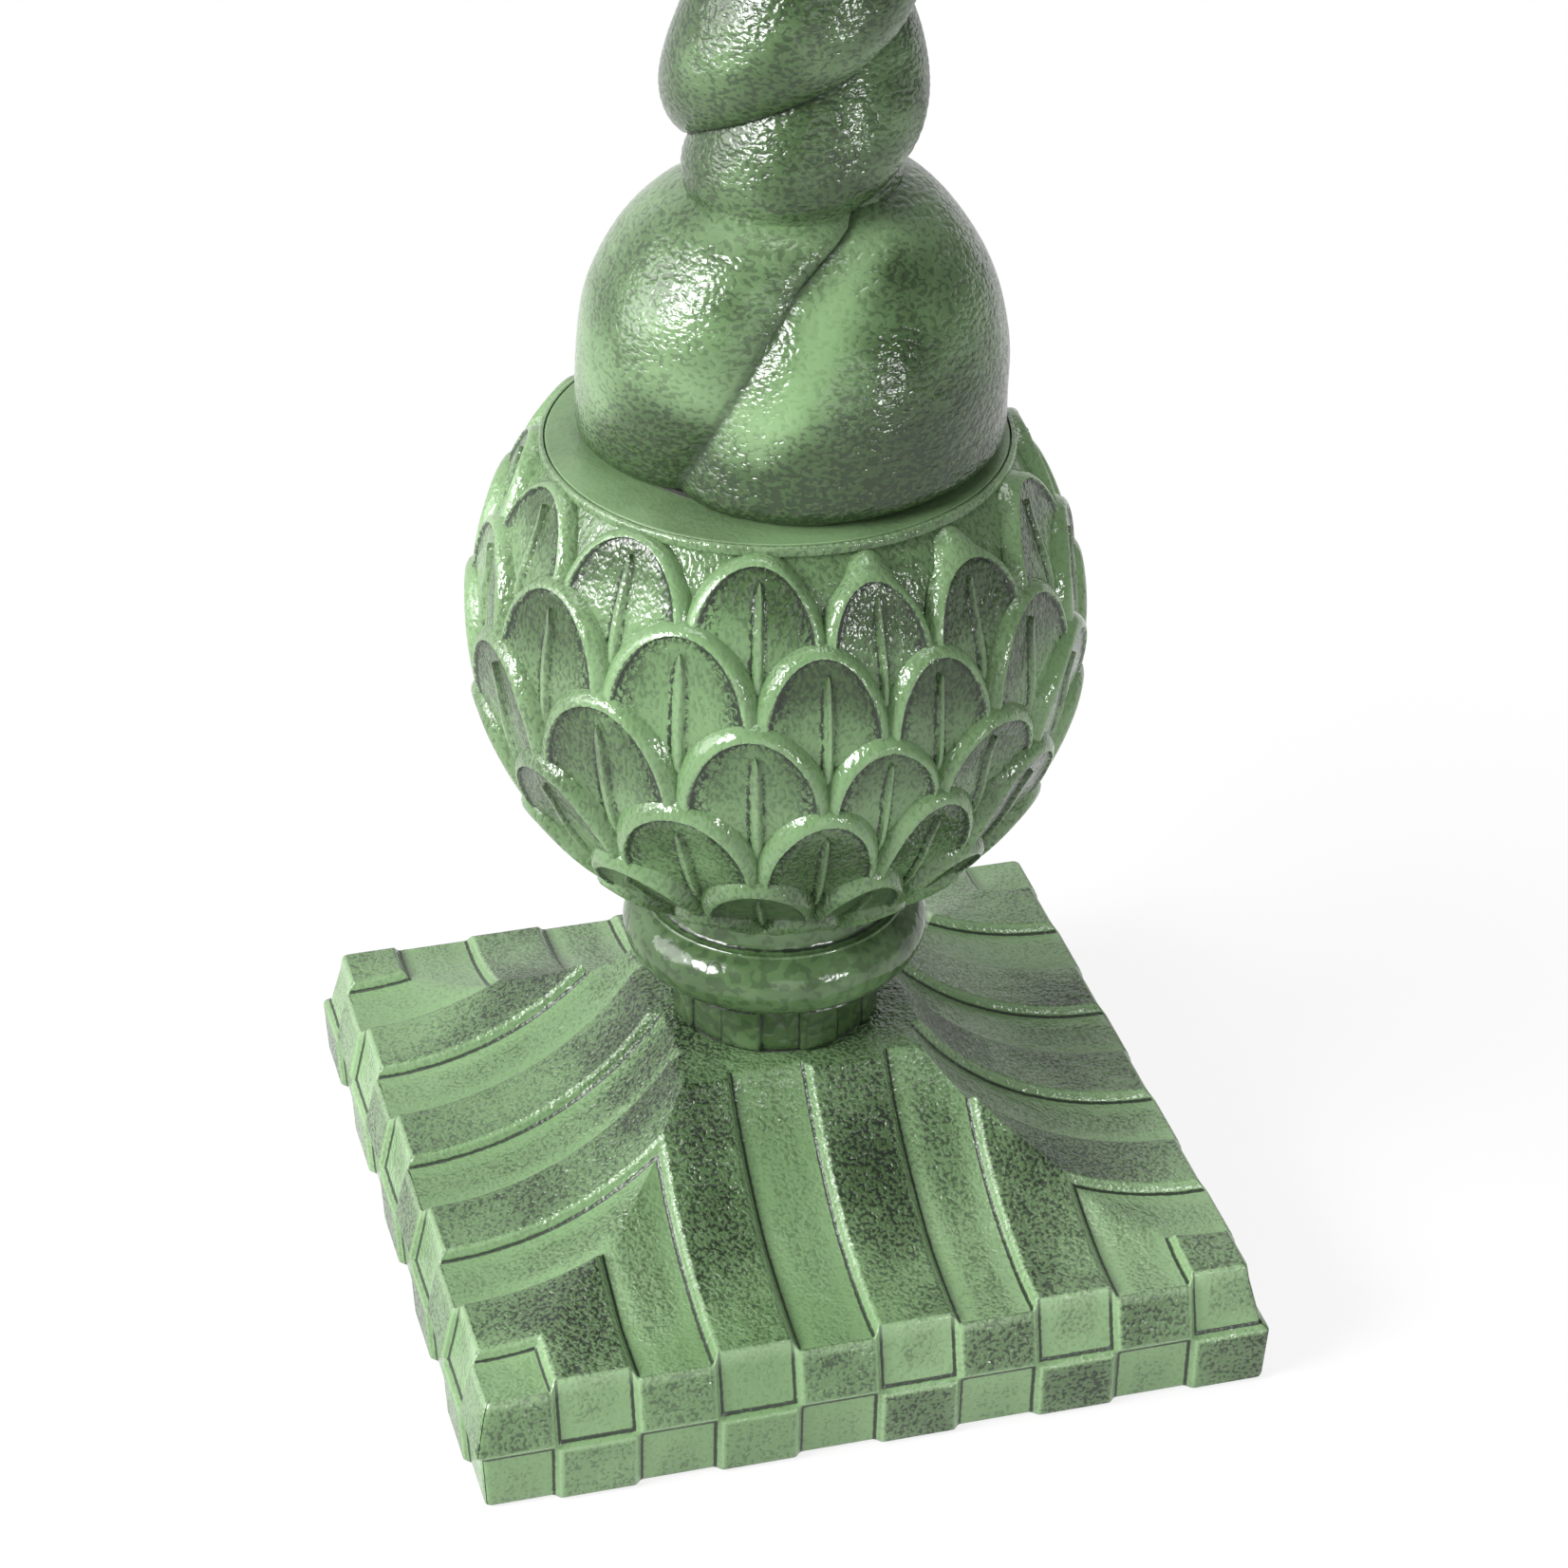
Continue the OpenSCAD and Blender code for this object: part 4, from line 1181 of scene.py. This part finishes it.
# The floor shows a little of its own shadow near the object, and none farther away
SHADOW_NEAR, SHADOW_FAR, WHITE_NEAR = 0.2, 0.62, 0.82


def white_sweep(tree, shade, keep):
    """Emission for camera, glossy and transmission rays, mixed with the plain shader to keep a shadow."""
    path = wire(tree, "ShaderNodeLightPath").outputs
    seen = maths(tree, "MAXIMUM", path["Is Glossy Ray"], path["Is Transmission Ray"])
    seen = maths(tree, "MAXIMUM", path["Is Camera Ray"], seen)
    glow = wire(tree, "ShaderNodeEmission", {"Color": (1, 1, 1, 1), "Strength": 1.0}).outputs[0]
    mixed = wire(tree, "ShaderNodeMixShader", {0: maths(tree, "MULTIPLY", seen, keep), 1: shade, 2: glow})
    return mixed.outputs[0]


clear_selection()
bpy.ops.mesh.primitive_grid_add(x_subdivisions=4, y_subdivisions=4, size=FLOOR_SIZE)
floor = bpy.context.object
floor.name = "floor"
paper, sheet_tree, unused_shader = new_paint("white_paper")
sheet_tree.nodes.remove(unused_shader)
plain = wire(sheet_tree, "ShaderNodeBsdfDiffuse", {"Color": PAPER}).outputs[0]
spot = wire(sheet_tree, "ShaderNodeTexCoord").outputs["Object"]
away = wire(sheet_tree, "ShaderNodeVectorMath", {0: spot}, operation="LENGTH").outputs["Value"]
whiteness = mapped(sheet_tree, away, SHADOW_NEAR, SHADOW_FAR, WHITE_NEAR, 1.0)
surface = sheet_tree.nodes["Material Output"].inputs["Surface"]
sheet_tree.links.new(white_sweep(sheet_tree, plain, whiteness), surface)
floor.data.materials.append(paper)
print("floor", FLOOR_SIZE, "m wide")

# %% World
AMBIENT, DARK_FRONT, DARK_WAY = 0.27, 0.06, (0.6, -0.8, 0.0)
DARK_FROM, DARK_TO = -0.4, 0.35
world = bpy.data.worlds.new("white_room")
bpy.context.scene.world = world
world.use_nodes = True
sky = world.node_tree
path = wire(sky, "ShaderNodeLightPath").outputs
look = wire(sky, "ShaderNodeTexCoord").outputs["Generated"]
front = wire(sky, "ShaderNodeVectorMath", {0: look, 1: DARK_WAY}, operation="DOT_PRODUCT").outputs["Value"]
mirrored = maths(sky, "MAXIMUM", path["Is Glossy Ray"], path["Is Transmission Ray"])
mirrored = maths(sky, "MULTIPLY", mirrored, mapped(sky, front, DARK_FROM, DARK_TO, 1.0, DARK_FRONT))
strength = maths(sky, "MAXIMUM", maths(sky, "MAXIMUM", path["Is Camera Ray"], mirrored), AMBIENT)
backdrop = sky.nodes["Background"]
backdrop.inputs["Color"].default_value = (1, 1, 1, 1)
sky.links.new(strength, backdrop.inputs["Strength"])
print("ambient light", AMBIENT)

# %% Lamps
AIM = Vector((0, 0, 0.3))
# Name, place in metres, width in metres, watts
LAMPS = [
    ("left", (-1.7, 0.3, 0.9), 1.2, 19),
    ("left_key", (-1.5, -0.5, 1.1), 0.8, 43),
    ("top", (0.1, 0.1, 2.3), 1.0, 14),
    ("front_low", (-0.2, -2.0, 0.6), 1.0, 4),
    ("front_right", (0.85, -1.6, 0.65), 0.36, 9),
]
for name, at, size, watts in LAMPS:
    lamp = bpy.data.lights.new(name, "AREA")
    lamp.shape, lamp.size, lamp.energy = "DISK", size, watts
    stand = bpy.data.objects.new(name, lamp)
    bpy.context.collection.objects.link(stand)
    facing = (AIM - Vector(at)).to_track_quat("-Z", "Y").to_matrix().to_4x4()
    stand.matrix_world = Matrix.Translation(at) @ facing
bpy.context.scene.view_settings.view_transform = "Standard"
print(len(LAMPS), "lamps set")
